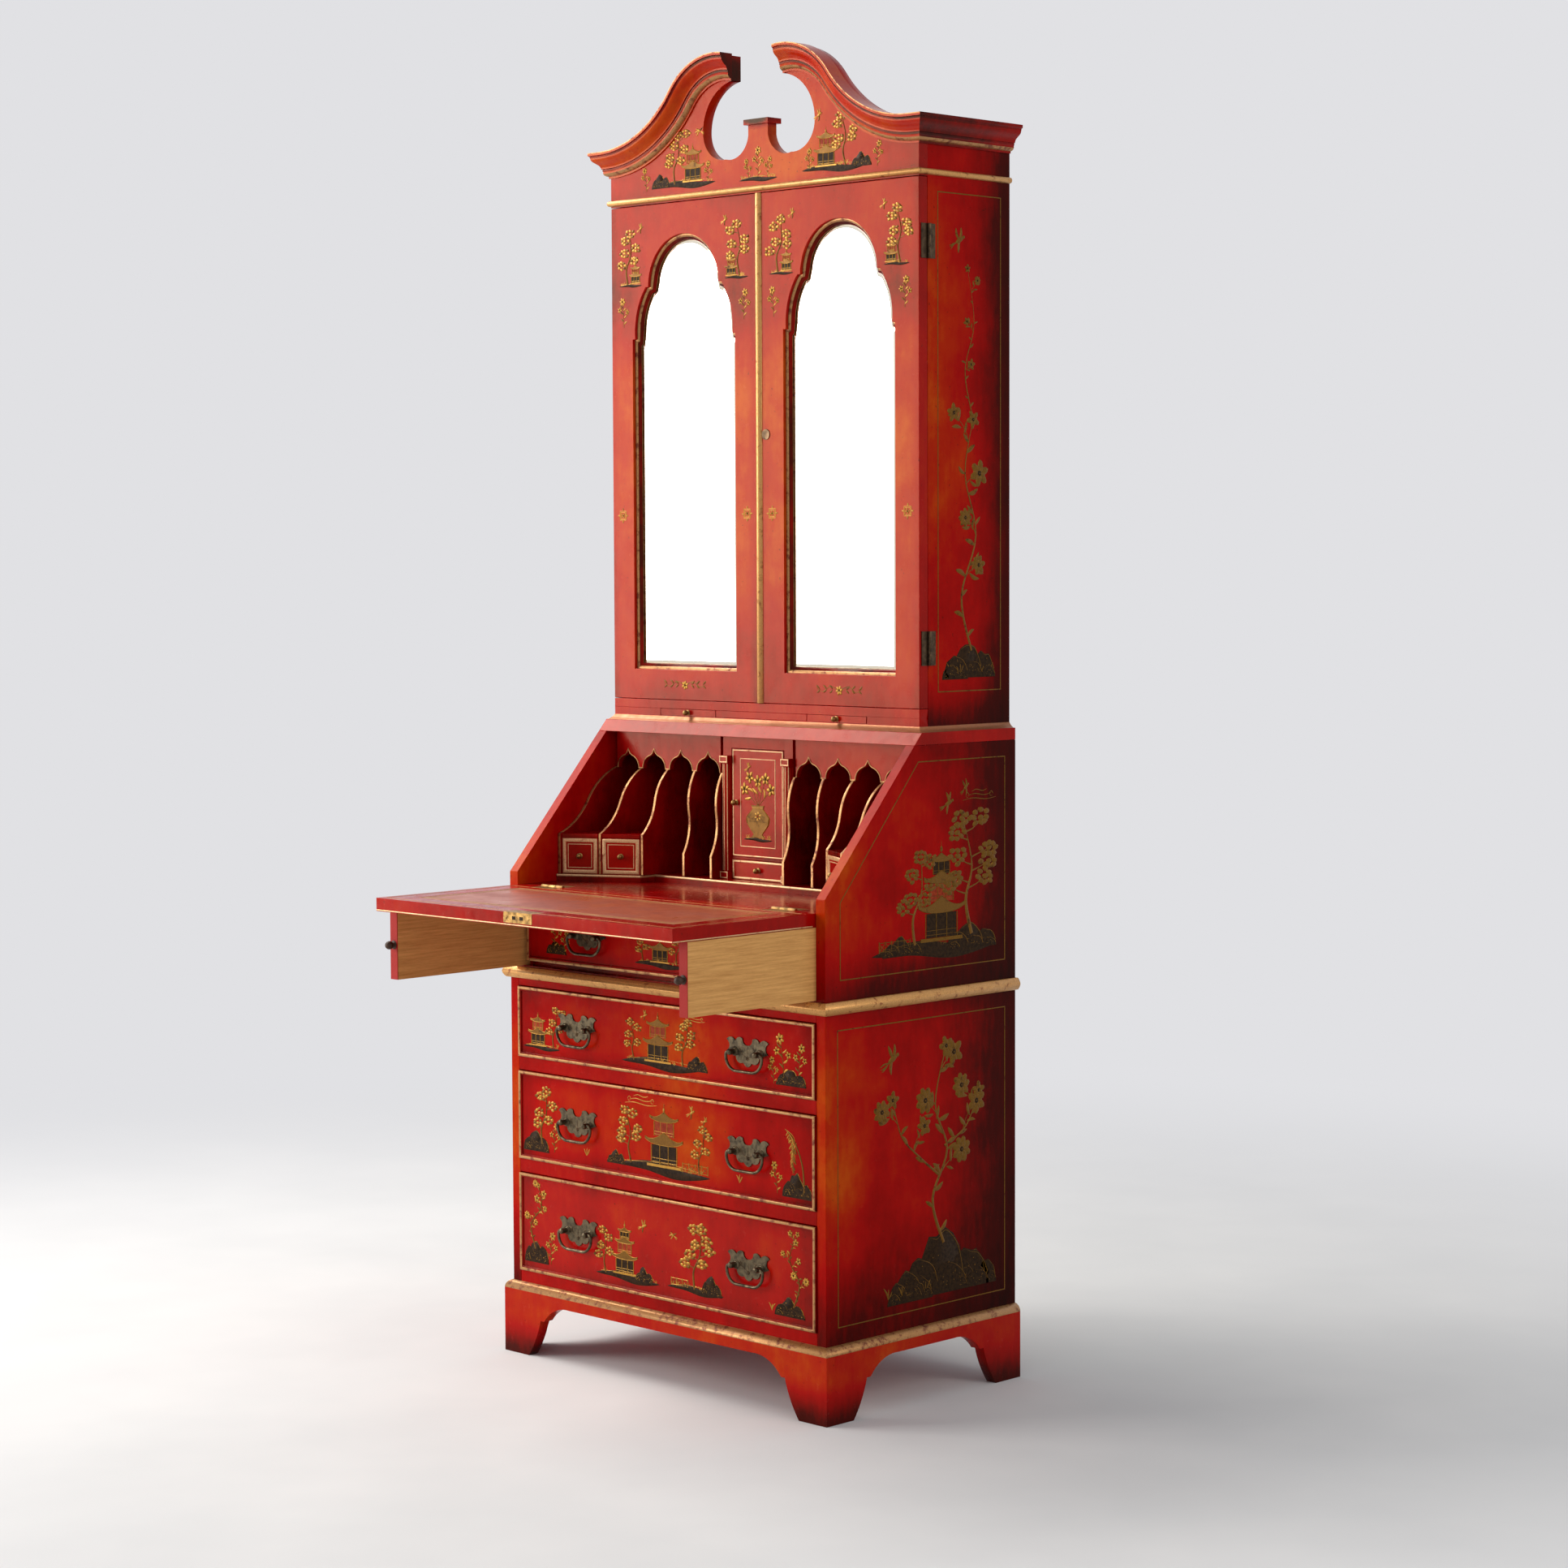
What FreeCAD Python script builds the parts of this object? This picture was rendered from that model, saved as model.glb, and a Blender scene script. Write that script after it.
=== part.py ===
import FreeCAD, Part
import math
import os

# Writing cabinet: three long drawers and a slant-front desk, with a mirrored cabinet and a
# swan-neck pediment on top. Millimetres, +Z up, front towards -Y, shown with the fall down on
# its lopers. Places are worked out from the front of the lower case, where y is 0, and from the
# floor. The export then moves the origin to the middle of the box that the piece stands in.

V = FreeCAD.Vector

# Case boards
case_width = 680.0
case_depth = 412.0
side_board = 18.0
back_board = 6.0

# Clearances
overrun = 20.0
seat_gap = 0.4
drawer_gap = 1.0
hinge_gap = 0.5
loper_gap = 0.3
knuckle_gap = 0.4
pin_gap = 0.06

# Bracket base
plinth_height = 100.0
plinth_reach = 10.0
plinth_board = 18.0
toe_width = 56.0
ankle_width = 84.0
ankle_height = 58.0
spur = 8.0
spandrel_width = 58.0
apron_height = 16.0
ankle_bow_share = 0.05
spandrel_bow_share = 0.13
plinth_bead_height = 12.0
bead_bow_share = 0.18

# Long drawers, numbered from the top
bottom_rail_height = 30.0
rail_height = 21.0
rail_depth = 60.0
runner_width = 40.0
dust_panel = 6.0
drawer_1_height = 111.0
drawer_2_height = 139.0
drawer_3_height = 155.0
drawer_front = 17.0
drawer_proud = 3.0
drawer_bead = 7.0
drawer_bead_depth = 2.0
drawer_side = 10.0
drawer_bottom = 6.0
drawer_bottom_lift = 5.0
drawer_head_room = 12.0
drawer_back_room = 18.0

# Bail handles
handle_inset = 155.0
top_handle_inset = 180.0
plate_width = 86.0
plate_height = 42.0
plate_thickness = 1.6
post_spread = 52.0
post_radius = 4.2
post_length = 12.0
bail_radius = 2.2
bail_width = 74.0
bail_drop = 27.0
bail_stand_off = 7.5
bail_shoulder_bend = 5.0
bail_grip_bend = 21.0
wing_shares = (((0, 0.50),), ((0.18, 0.62), (0.24, 0.95)), ((0.45, 1.0), (0.58, 0.72)),
               ((0.78, 0.98), (1.0, 0.78)), ((0.86, 0.40), (0.98, 0.02)), ((0.76, -0.14), (0.56, -0.28)),
               ((0.50, -0.62), (0.20, -0.70)), ((0.12, -0.90), (0, -1.0)))

# Waist and desk
waist_height = 18.0
waist_bow_share = 0.09
deck_board = 11.0
loper_height = 104.4
loper_thickness = 16.0
loper_travel = 250.0
loper_proud = 3.0
loper_back_room = 14.0
loper_knob_radius = 6.0
guide_board = 6.0
blade_height = 8.0
blade_setback = 14.0
fall_thickness = 20.0
fall_side_gap = 1.0
fall_top_gap = 3.0
slant_angle = 48.2
slant_rise = 20.0
bed_board = 16.0
desk_rise = 249.0
desk_top_board = 18.0

# Fall fittings
leather_margin = 42.0
leather_thickness = 1.2
leather_fit = 0.2
lock_plate_width = 62.0
lock_plate_depth = 24.0
brass_sheet = 1.2
fall_hinge_inset = 47.0
fall_hinge_length = 48.0
fall_leaf_width = 26.0

# Hinges
knuckle_radius = 3.0
hinge_pin_radius = 1.4
leaf_sheet = 1.5
door_hinge_length = 50.0
door_leaf_width = 15.0
lower_hinge_lift = 88.0
upper_hinge_drop = 92.0

# Desk interior
base_block = 11.0
divider = 6.0
prospect_half = 78.0
bays = 4
drawer_bays = 2
splay_front = 84.0
splay_step = 33.0
deep_step = 25.0
base_nosing = 4.0
inner_drawer_height = 57.0
inner_front = 8.0
inner_side = 4.0
inner_drawer_depth = 150.0
inner_knob_radius = 4.0
valance_gap = 5.1
valance_board = 8.0
valance_drop = 58.0
valance_arch_share = 0.62
valance_knee_share = 0.62
valance_lip = 2.5
divider_bow_share = 0.09
pendant_bow_share = 0.16

# Prospect door
column_radius = 7.0
column_block = 12.0
column_half = 57.0
prospect_board = 10.0
prospect_gap = 2.0
prospect_floor = 4.0
prospect_drawer_height = 31.0
prospect_head = 18.0
prospect_pivot_inset = 8.0
pivot_radius = 1.5
pivot_length = 6.0

# Upper cabinet
cabinet_step = 12.0
ledge = 7.75
cabinet_side = 18.0
foot_moulding_height = 8.0
foot_moulding_reach = 8.0
foot_bow_share = 0.09
candle_liner = 9.0
candle_slot = 11.0
candle_floor = 13.5
candle_width = 122.0
candle_inset = 107.0
candle_back_room = 25.5
candle_knob_radius = 4.0
shelf_board = 15.0
shelf_height = 390.0
shelf_setback = 8.0
door_height = 770.0
door_thickness = 18.0
door_gap = 0.5
meeting_offset = 7.0

# Door mirrors
meeting_stile = 52.0
hinge_stile = 48.0
mirror_sill = 47.0
mirror_head_drop = 49.0
shoulder_step = 6.0
lobe_rise = 80.0
lobe_bow_share = 0.10
head_radius_share = 0.684
rebate_margin = 9.0
rebate_depth = 6.0
mirror_glass = 3.0
astragal_width = 13.0
astragal_reach = 4.5
escutcheon_height = 407.0
escutcheon_radius = 8.0

# Frieze and pediment
frieze_gap = 1.0
frieze_bead_lift = 2.0
frieze_bead_height = 9.0
frieze_bead_reach = 5.0
frieze_height = 86.0
cornice_height = 40.0
cornice_reach = 26.0
band_height_shares = (0, 0.24, 0.46, 0.74, 1.0)
band_reach_shares = (1.0, 0.78, 0.50, 0.30)
crest_place = 72.0
crest_rise = 128.0
crest_share = 0.38
horn_end = 55.0
board_drop = 3.0
side_drop = 6.0
roof_drop = 54.0
cap_half = 26.0
cap_depth = 29.0
cap_height = 8.0
cap_top_drop = 24.0
post_half = 21.0
eye_place = 70.0
eye_bottom = 31.0
eye_reach = 119.0
eye_middle = 98.0
eye_bow_share = 0.22
horn_bow_share = 0.19

# Worked-out places
half = case_width / 2
inner_half = half - side_board
inner_back = case_depth - back_board
cabinet_half = half - cabinet_step
cabinet_inner = cabinet_half - cabinet_side
drawer_3_floor = plinth_height + bottom_rail_height
drawer_2_floor = drawer_3_floor + drawer_3_height + rail_height
drawer_1_floor = drawer_2_floor + drawer_2_height + rail_height
waist = drawer_1_floor + drawer_1_height + rail_height
long_drawers = ((drawer_1_floor, drawer_1_height), (drawer_2_floor, drawer_2_height),
                (drawer_3_floor, drawer_3_height))
deck_top = waist + deck_board
loper_bottom = deck_top + loper_gap
loper_top = loper_bottom + loper_height
fall_under = loper_top + loper_gap
writing = fall_under + fall_thickness
bed_under = writing - bed_board
slope = math.tan(math.radians(slant_angle))
slant_sine = math.sin(math.radians(slant_angle))
slant_cosine = math.cos(math.radians(slant_angle))
slant_foot = writing + slant_rise
hinge_y = fall_thickness / slant_sine - slant_rise / slope
desk_height = writing + desk_rise
desk_under = desk_height - desk_top_board
fall_length = (desk_under - fall_top_gap - fall_thickness * slant_cosine - writing) / slant_sine
fall_rear = hinge_y - hinge_gap
fall_front = fall_rear - fall_length
fall_half = inner_half - fall_side_gap
fall_hinge_x = fall_half - fall_hinge_inset - fall_hinge_length / 2
loper_reach = loper_travel + loper_proud
loper_length = inner_back - loper_back_room + loper_proud
loper_outer = inner_half - loper_gap
loper_inner = loper_outer - loper_thickness
guide_outer = loper_inner - loper_gap
guide_inner = guide_outer - guide_board
top_drawer_floor = deck_top + blade_height
top_drawer_height = fall_under - drawer_gap - top_drawer_floor
base_top = writing + base_block
bay_pitch = (inner_half - prospect_half) / bays
shelf_top = base_top + inner_drawer_height + divider
shelf_under = shelf_top - divider
valance_setback = hinge_y + fall_length * slant_cosine + valance_gap
deep_front = valance_setback - deep_step
valance_low = desk_under - valance_drop
prospect_floor_top = base_top + prospect_drawer_height + prospect_floor
prospect_door_top = desk_under - prospect_head - drawer_gap
prospect_door_half = column_half - prospect_gap
cabinet_setback = (desk_height - slant_foot) / slope + ledge
carcase_front = cabinet_setback + door_thickness + door_gap
candle_bottom = desk_height + candle_liner
candle_top = candle_bottom + candle_slot
candle_x = cabinet_half - candle_inset - candle_width / 2
candle_length = inner_back - cabinet_setback - candle_back_room
cabinet_floor = candle_top + candle_floor
door_bottom = cabinet_floor + door_gap
door_top = door_bottom + door_height
frieze_bottom = door_top + frieze_gap
cornice_top = frieze_bottom + frieze_height
side_top = cornice_top - side_drop
roof_top = cornice_top - roof_drop
mirror_x = (meeting_stile + cabinet_half - hinge_stile) / 2
mirror_half = (cabinet_half - hinge_stile - meeting_stile) / 2
head_radius = mirror_half * head_radius_share
head_height = door_height - mirror_head_drop - head_radius
shoulder_height = head_height - lobe_rise
door_axis_x = cabinet_half + knuckle_radius + knuckle_gap
neck_foot = cabinet_half
neck_turn = 2 * math.atan(crest_rise / (neck_foot - crest_place))
neck_radii = crest_rise / (1 - math.cos(neck_turn))
crest_radius = neck_radii * crest_share
hollow_radius = neck_radii - crest_radius
crest_centre = cornice_top + crest_rise - crest_radius
hollow_centre = cornice_top + hollow_radius
origin_y = (fall_front + case_depth) / 2


def box(x0, x1, y0, y1, z0, z1):
    """Board between two opposite corners."""
    return Part.makeBox(x1 - x0, y1 - y0, z1 - z0, V(x0, y0, z0))


def mirrored(shape):
    """Copy on the other side of the middle plane."""
    return shape.mirror(V(0, 0, 0), V(1, 0, 0))


def both(shape):
    """A piece and its twin on the other side."""
    return [shape, mirrored(shape)]


def on_front(y):
    """Places outline points (x, z) on an upright plane that faces the front."""
    return lambda x, z: V(x, y, z)


def on_side(x):
    """Places outline points (y, z) on an upright plane that faces the side."""
    return lambda y, z: V(x, y, z)


def on_plan(z):
    """Places outline points (x, y) on a level plane."""
    return lambda x, y: V(x, y, z)


def bow(start, end, share):
    """Middle point of an arc that bulges to the left of the way from start to end."""
    across = end[0] - start[0]
    along = end[1] - start[1]
    return ((start[0] + end[0]) / 2 - along * share, (start[1] + end[1]) / 2 + across * share)


def face_of(steps, place):
    """Face in a closed outline. A step is (end,) for a line or (middle, end) for an arc."""
    start = steps[-1][-1]
    edges = []
    for step in steps:
        end = step[-1]
        if len(step) == 2:
            edges.append(Part.Arc(place(*start), place(*step[0]), place(*end)).toShape())
        else:
            edges.append(Part.LineSegment(place(*start), place(*end)).toShape())
        start = end
    return Part.Face(Part.Wire(edges))


def lines(points):
    """Straight steps through a list of points."""
    return [(point,) for point in points]


def side_prism(points, x0, x1):
    """Board whose outline (y, z) runs from x0 to x1."""
    return face_of(lines(points), on_side(x0)).extrude(V(x1 - x0, 0, 0))


def plan_prism(points, z0, z1):
    """Board whose outline (x, y) runs from z0 up to z1."""
    return face_of(lines(points), on_plan(z0)).extrude(V(0, 0, z1 - z0))


def rod(radius, start, end):
    """Round bar from one point to another."""
    way = end - start
    return Part.makeCylinder(radius, way.Length, start, way)


def knob(radius, foot, way):
    """Turned knob: a stem and a ball, standing on foot and pointing along way."""
    stem_share = 0.45
    ball = Part.makeSphere(radius, foot + way * (radius + radius * stem_share))
    return rod(radius * stem_share, foot, foot + way * radius).fuse(ball)


def moulding(steps, reach, run_half, front, z):
    """Mitred strips round the front and both sides of a case, to its back. Steps are (out, up)."""
    height = max(step[-1][1] for step in steps)
    front_plan = [(-run_half - reach, front - reach), (run_half + reach, front - reach),
                  (run_half, front), (-run_half, front)]
    side_plan = [(run_half + reach, front - reach), (run_half + reach, case_depth),
                 (run_half, case_depth), (run_half, front)]
    front_end = lambda out, up: V(-run_half - reach, front - out, z + up)
    side_end = lambda out, up: V(run_half + out, front - reach, z + up)
    front_bar = face_of(steps, front_end).extrude(V(2 * (run_half + reach), 0, 0))
    side_bar = face_of(steps, side_end).extrude(V(0, case_depth - front + reach, 0))
    front_strip = front_bar.common(plan_prism(front_plan, z - overrun, z + height + overrun))
    side_strip = side_bar.common(plan_prism(side_plan, z - overrun, z + height + overrun))
    return [front_strip] + both(side_strip)


def bracket_steps(start, end, corner_start, corner_end):
    """Outline (run, z) of a plinth board with a bracket foot at each end."""
    apron = plinth_height - apron_height
    spread = ankle_width + spur + spandrel_width

    def foot(corner, way):
        toe = (corner + way * toe_width, 0)
        ankle = (corner + way * ankle_width, ankle_height)
        tip = (corner + way * (ankle_width + spur), ankle_height)
        rise = (corner + way * spread, apron)
        return toe, ankle, tip, rise

    toe, ankle, tip, rise = foot(corner_start, 1)
    far_toe, far_ankle, far_tip, far_rise = foot(corner_end, -1)
    return [(toe,), (bow(toe, ankle, -ankle_bow_share), ankle), (tip,),
            (bow(tip, rise, spandrel_bow_share), rise), (far_rise,),
            (bow(far_rise, far_tip, spandrel_bow_share), far_tip), (far_ankle,),
            (bow(far_ankle, far_toe, -ankle_bow_share), far_toe),
            ((end, 0),), ((end, plinth_height),), ((start, plinth_height),), ((start, 0),)]


def bracket_base():
    """Front board and two side boards, each cut out between bracket feet."""
    outer = half + plinth_reach
    front_steps = bracket_steps(-outer, outer, -outer, outer)
    front = face_of(front_steps, on_front(-plinth_reach)).extrude(V(0, plinth_board, 0))
    side_steps = bracket_steps(plinth_board - plinth_reach, case_depth, -plinth_reach, case_depth)
    side = face_of(side_steps, on_side(outer - plinth_board)).extrude(V(plinth_board, 0, 0))
    return [front] + both(side)


def plinth_bead():
    """Quarter-round gilt bead on top of the plinth."""
    crown = (0, plinth_bead_height)
    edge = (plinth_reach, 0)
    steps = [(edge,), (bow(edge, crown, -bead_bow_share), crown), ((0, 0),)]
    return moulding(steps, plinth_reach, half, 0, plinth_height)


def base_sides():
    """Sides of the lower case."""
    return both(box(inner_half, half, 0, case_depth, plinth_height, waist))


def base_rails():
    """Front rails, runners and dust panels between the long drawers."""
    tiers = [(plinth_height, drawer_3_floor)]
    for floor, height in long_drawers:
        tiers.append((floor + height, floor + height + rail_height))
    panel_half = inner_half - runner_width
    solids = []
    for low, high in tiers:
        solids.append(box(-inner_half, inner_half, 0, rail_depth, low, high))
        solids += both(box(panel_half, inner_half, rail_depth, inner_back, low, high))
        solids.append(box(-panel_half, panel_half, rail_depth, inner_back, low, low + dust_panel))
    return solids


def waist_moulding():
    """Gilt moulding over the joint between the drawers and the desk."""
    foot = (plinth_reach / 2, 0)
    belly = (plinth_reach, waist_height / 2)
    shoulder = (plinth_reach / 2, waist_height)
    steps = [(foot,), (bow(foot, belly, -waist_bow_share), belly),
             (bow(belly, shoulder, -waist_bow_share), shoulder), ((0, waist_height),), ((0, 0),)]
    return moulding(steps, plinth_reach, half, 0, waist - waist_height / 2)


def slant_y(z):
    """Place of the slanted front edges at a height."""
    return (z - slant_foot) / slope


def desk_sides():
    """Desk sides with their slanted front edges."""
    points = [(0, waist), (0, slant_foot), (slant_y(desk_under), desk_under),
              (case_depth, desk_under), (case_depth, waist)]
    return both(side_prism(points, inner_half, half))


def splay_y(x):
    """Front line of the splayed drawers, which come forward towards the sides."""
    return splay_front + (inner_half - x) / bay_pitch * splay_step


def hinge_halves(length, leaf_width, leaf_low, sheet):
    """Moving and fixed half of a butt hinge about the Z axis, leaves towards -Y and +Y."""
    third = length / 3
    axial = knuckle_gap / 2
    low = -length / 2

    def knuckle(z0, z1, radius):
        return rod(radius, V(0, 0, z0), V(0, 0, z1))

    middle = (low + third + axial, low + 2 * third - axial)
    ends = ((low, low + third - axial), (low + 2 * third + axial, low + length))
    moving = box(leaf_low, leaf_low + sheet, -leaf_width, 0, low, low + length)
    fixed = box(leaf_low, leaf_low + sheet, 0, leaf_width, low, low + length)
    swept = knuckle_radius + knuckle_gap
    fixed = fixed.cut(knuckle(low + third - axial, low + 2 * third + axial, swept))
    moving = moving.cut(knuckle(low, low + third + axial, swept))
    moving = moving.cut(knuckle(low + 2 * third - axial, low + length, swept))
    moving = moving.fuse(knuckle(middle[0], middle[1], knuckle_radius))
    moving = moving.cut(knuckle(low, low + length, hinge_pin_radius + pin_gap))
    for z0, z1 in ends:
        fixed = fixed.fuse(knuckle(z0, z1, knuckle_radius))
    fixed = fixed.fuse(knuckle(low, low + length, hinge_pin_radius))
    return moving.removeSplitter(), fixed.removeSplitter()


def fall_hinge_halves():
    """Hinge under the right-hand end of the fall, pin level with the writing surface."""
    placed = []
    for leaf in hinge_halves(fall_hinge_length, fall_leaf_width, -brass_sheet, brass_sheet):
        leaf.rotate(V(0, 0, 0), V(0, 1, 0), -90)
        leaf.translate(V(fall_hinge_x, hinge_y, writing))
        placed.append(leaf)
    return placed


def fall_hinge_pocket():
    """Room for one fall hinge in the two boards that it joins."""
    low = fall_hinge_x - fall_hinge_length / 2
    high = low + fall_hinge_length
    leaves = box(low, high, hinge_y - fall_leaf_width, hinge_y + fall_leaf_width,
                 writing - brass_sheet, writing + overrun)
    barrel = rod(knuckle_radius + knuckle_gap, V(low - knuckle_gap, hinge_y, writing),
                 V(high + knuckle_gap, hinge_y, writing))
    return leaves.fuse(barrel)


def desk_bed():
    """Deck, drawer blade, loper guides, bed and the raised blocks that the interior stands on."""
    bed = box(-inner_half, inner_half, hinge_y + hinge_gap, inner_back, bed_under, writing)
    for pocket in both(fall_hinge_pocket()):
        bed = bed.cut(pocket)
    solids = [bed, box(-inner_half, inner_half, 0, inner_back, waist, deck_top)]
    solids.append(box(-guide_inner, guide_inner, blade_setback, inner_back, deck_top, top_drawer_floor))
    guide_front = hinge_y + hinge_gap
    solids += both(box(guide_inner, guide_outer, guide_front, inner_back, deck_top, bed_under))
    splay_end = inner_half - drawer_bays * bay_pitch
    splay_plan = [(inner_half, splay_y(inner_half) - base_nosing), (inner_half, inner_back),
                  (splay_end, inner_back), (splay_end, splay_y(splay_end) - base_nosing)]
    solids += both(plan_prism(splay_plan, writing, base_top))
    solids.append(box(-splay_end, splay_end, deep_front - base_nosing, inner_back, writing, base_top))
    return solids


def desk_top():
    """Desk top with its front edge cut to the slant."""
    points = [(slant_y(desk_under), desk_under), (slant_y(desk_height), desk_height),
              (case_depth, desk_height), (case_depth, desk_under)]
    return [side_prism(points, -half, half)]


def foot_moulding():
    """Small gilt moulding round the foot of the upper cabinet."""
    foot = (foot_moulding_reach, 0)
    crown = (0, foot_moulding_height)
    steps = [(foot,), (bow(foot, crown, foot_bow_share), crown), ((0, 0),)]
    return moulding(steps, foot_moulding_reach, cabinet_half, cabinet_setback, desk_height)


def divider_board(front, foot, x0):
    """Upright between pigeonholes, its front edge an S curve that stays behind the closed fall."""
    low = (front, foot)
    high = (valance_setback, valance_low)
    middle = ((low[0] + high[0]) / 2, (low[1] + high[1]) / 2)
    steps = [((front, base_top),), (low,), (bow(low, middle, -divider_bow_share), middle),
             (bow(middle, high, divider_bow_share), high)]
    back_edge = valance_setback + valance_board
    steps += lines([(back_edge, valance_low), (back_edge, desk_under), (inner_back, desk_under),
                    (inner_back, base_top)])
    return face_of(steps, on_side(x0)).extrude(V(divider, 0, 0))


def pigeonhole_dividers():
    """End panels, dividers, prospect walls, and the shelves over the splayed drawers."""
    solids = both(divider_board(splay_y(inner_half), shelf_top, inner_half - divider))
    for bay in range(1, bays + 1):
        edge = inner_half - bay * bay_pitch
        if bay <= drawer_bays:
            board = divider_board(splay_y(edge), shelf_top, edge - divider / 2)
        else:
            board = divider_board(deep_front, prospect_floor_top, edge - divider / 2)
        solids += both(board)
    for x0, x1 in drawer_bay_limits():
        plan = [(x1, splay_y(x1)), (x1, inner_back), (x0, inner_back), (x0, splay_y(x0))]
        solids += both(plan_prism(plan, shelf_under, shelf_top))
    wall = prospect_half - divider / 2
    floor_under = prospect_floor_top - prospect_floor
    floor_step = valance_setback + prospect_board
    solids.append(box(-column_half, column_half, valance_setback, floor_step, floor_under,
                      prospect_floor_top))
    solids.append(box(-wall, wall, floor_step, inner_back, floor_under, prospect_floor_top))
    return solids


def drawer_bay_limits():
    """Inner faces of the bays that hold the splayed drawers, outermost first."""
    outer = inner_half - divider
    limits = []
    for bay in range(1, drawer_bays + 1):
        edge = inner_half - bay * bay_pitch
        limits.append((edge + divider / 2, outer))
        outer = edge - divider / 2
    return limits


def valance_steps():
    """Outline (x, z) of one valance: a pointed ogee arch over each bay."""
    inner_end = prospect_half + divider / 2
    outer_end = inner_half - divider
    steps = []
    for bay in range(bays):
        near = inner_end + bay * bay_pitch + valance_lip
        far = min(inner_end + (bay + 1) * bay_pitch - divider, outer_end) - valance_lip
        rise = (far - near) * valance_arch_share
        tip = ((near + far) / 2, valance_low + rise)
        knee_z = valance_low + rise * valance_knee_share
        left_foot = (near, valance_low)
        right_foot = (far, valance_low)
        left_knee = ((near + tip[0]) / 2, knee_z)
        right_knee = ((far + tip[0]) / 2, knee_z)
        steps += [(left_foot,), (bow(left_foot, left_knee, pendant_bow_share), left_knee),
                  (bow(left_knee, tip, -pendant_bow_share), tip),
                  (bow(tip, right_knee, -pendant_bow_share), right_knee),
                  (bow(right_knee, right_foot, pendant_bow_share), right_foot)]
    return steps + lines([(outer_end, valance_low), (outer_end, desk_under), (inner_end, desk_under),
                          (inner_end, valance_low)])


def pigeonhole_valances():
    """Two shaped valances and the rail over the prospect door."""
    valance = face_of(valance_steps(), on_front(valance_setback)).extrude(V(0, valance_board, 0))
    head = box(-column_half, column_half, valance_setback, valance_setback + prospect_board,
               desk_under - prospect_head, desk_under)
    return both(valance) + [head]


def prospect_columns():
    """Pilaster board with a half column, its base and its capital, on each side of the door."""
    wall = prospect_half - divider / 2
    middle = (column_half + wall) / 2
    block_half = (wall - column_half) / 2
    solids = both(box(column_half, wall, valance_setback, valance_setback + prospect_board,
                      base_top, desk_under))
    shaft_low = base_top + column_block
    shaft_high = desk_under - prospect_head - 2 * column_block
    shaft = rod(column_radius, V(middle, valance_setback, shaft_low), V(middle, valance_setback, shaft_high))
    front_room = box(column_half, wall, valance_setback - 2 * column_radius, valance_setback,
                     shaft_low, shaft_high)
    solids += both(shaft.common(front_room))
    block_front = valance_setback - column_radius - base_nosing / 2
    for low, high in ((base_top, shaft_low), (shaft_high, shaft_high + column_block)):
        solids += both(box(middle - block_half, middle + block_half, block_front, valance_setback,
                           low, high))
    return solids


def back_panels():
    """Thin backs of the lower case, the desk and the upper cabinet."""
    return [box(-inner_half, inner_half, inner_back, case_depth, plinth_height, waist),
            box(-inner_half, inner_half, inner_back, case_depth, waist, desk_under),
            box(-cabinet_inner, cabinet_inner, inner_back, case_depth, desk_height, roof_top)]


def cabinet_sides():
    """Sides of the upper cabinet."""
    return both(box(cabinet_inner, cabinet_half, carcase_front, case_depth, desk_height, side_top))


def cabinet_boards():
    """Rail with the candle slots, and the liner, floor, shelf and top of the upper cabinet."""
    slot_in = candle_x - candle_width / 2 - drawer_gap
    slot_out = candle_x + candle_width / 2 + drawer_gap
    front = cabinet_setback
    solids = [box(-cabinet_half, cabinet_half, front, carcase_front, desk_height, candle_bottom),
              box(-cabinet_half, cabinet_half, front, carcase_front, candle_top, cabinet_floor),
              box(-slot_in, slot_in, front, carcase_front, candle_bottom, candle_top)]
    solids += both(box(slot_out, cabinet_half, front, carcase_front, candle_bottom, candle_top))
    levels = [(desk_height, candle_bottom), (candle_top, cabinet_floor), (roof_top - shelf_board, roof_top)]
    for low, high in levels:
        solids.append(box(-cabinet_inner, cabinet_inner, carcase_front, inner_back, low, high))
    shelf_low = cabinet_floor + shelf_height
    solids.append(box(-cabinet_inner, cabinet_inner, carcase_front + shelf_setback, inner_back,
                      shelf_low, shelf_low + shelf_board))
    return solids


def neck_points(drop):
    """Points of the swan-neck line, or of a line that far below it, from the side to the horn."""
    hollow = hollow_radius + drop
    crest = crest_radius - drop
    end_turn = math.asin((horn_end - crest_place) / crest)

    def on_hollow(turn):
        return (neck_foot - hollow * math.sin(turn), hollow_centre - hollow * math.cos(turn))

    def on_crest(turn):
        return (crest_place + crest * math.sin(turn), crest_centre + crest * math.cos(turn))

    foot = (neck_foot, cornice_top - drop)
    return (foot, on_hollow(neck_turn / 2), on_hollow(neck_turn),
            on_crest((neck_turn + end_turn) / 2), on_crest(end_turn))


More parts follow.
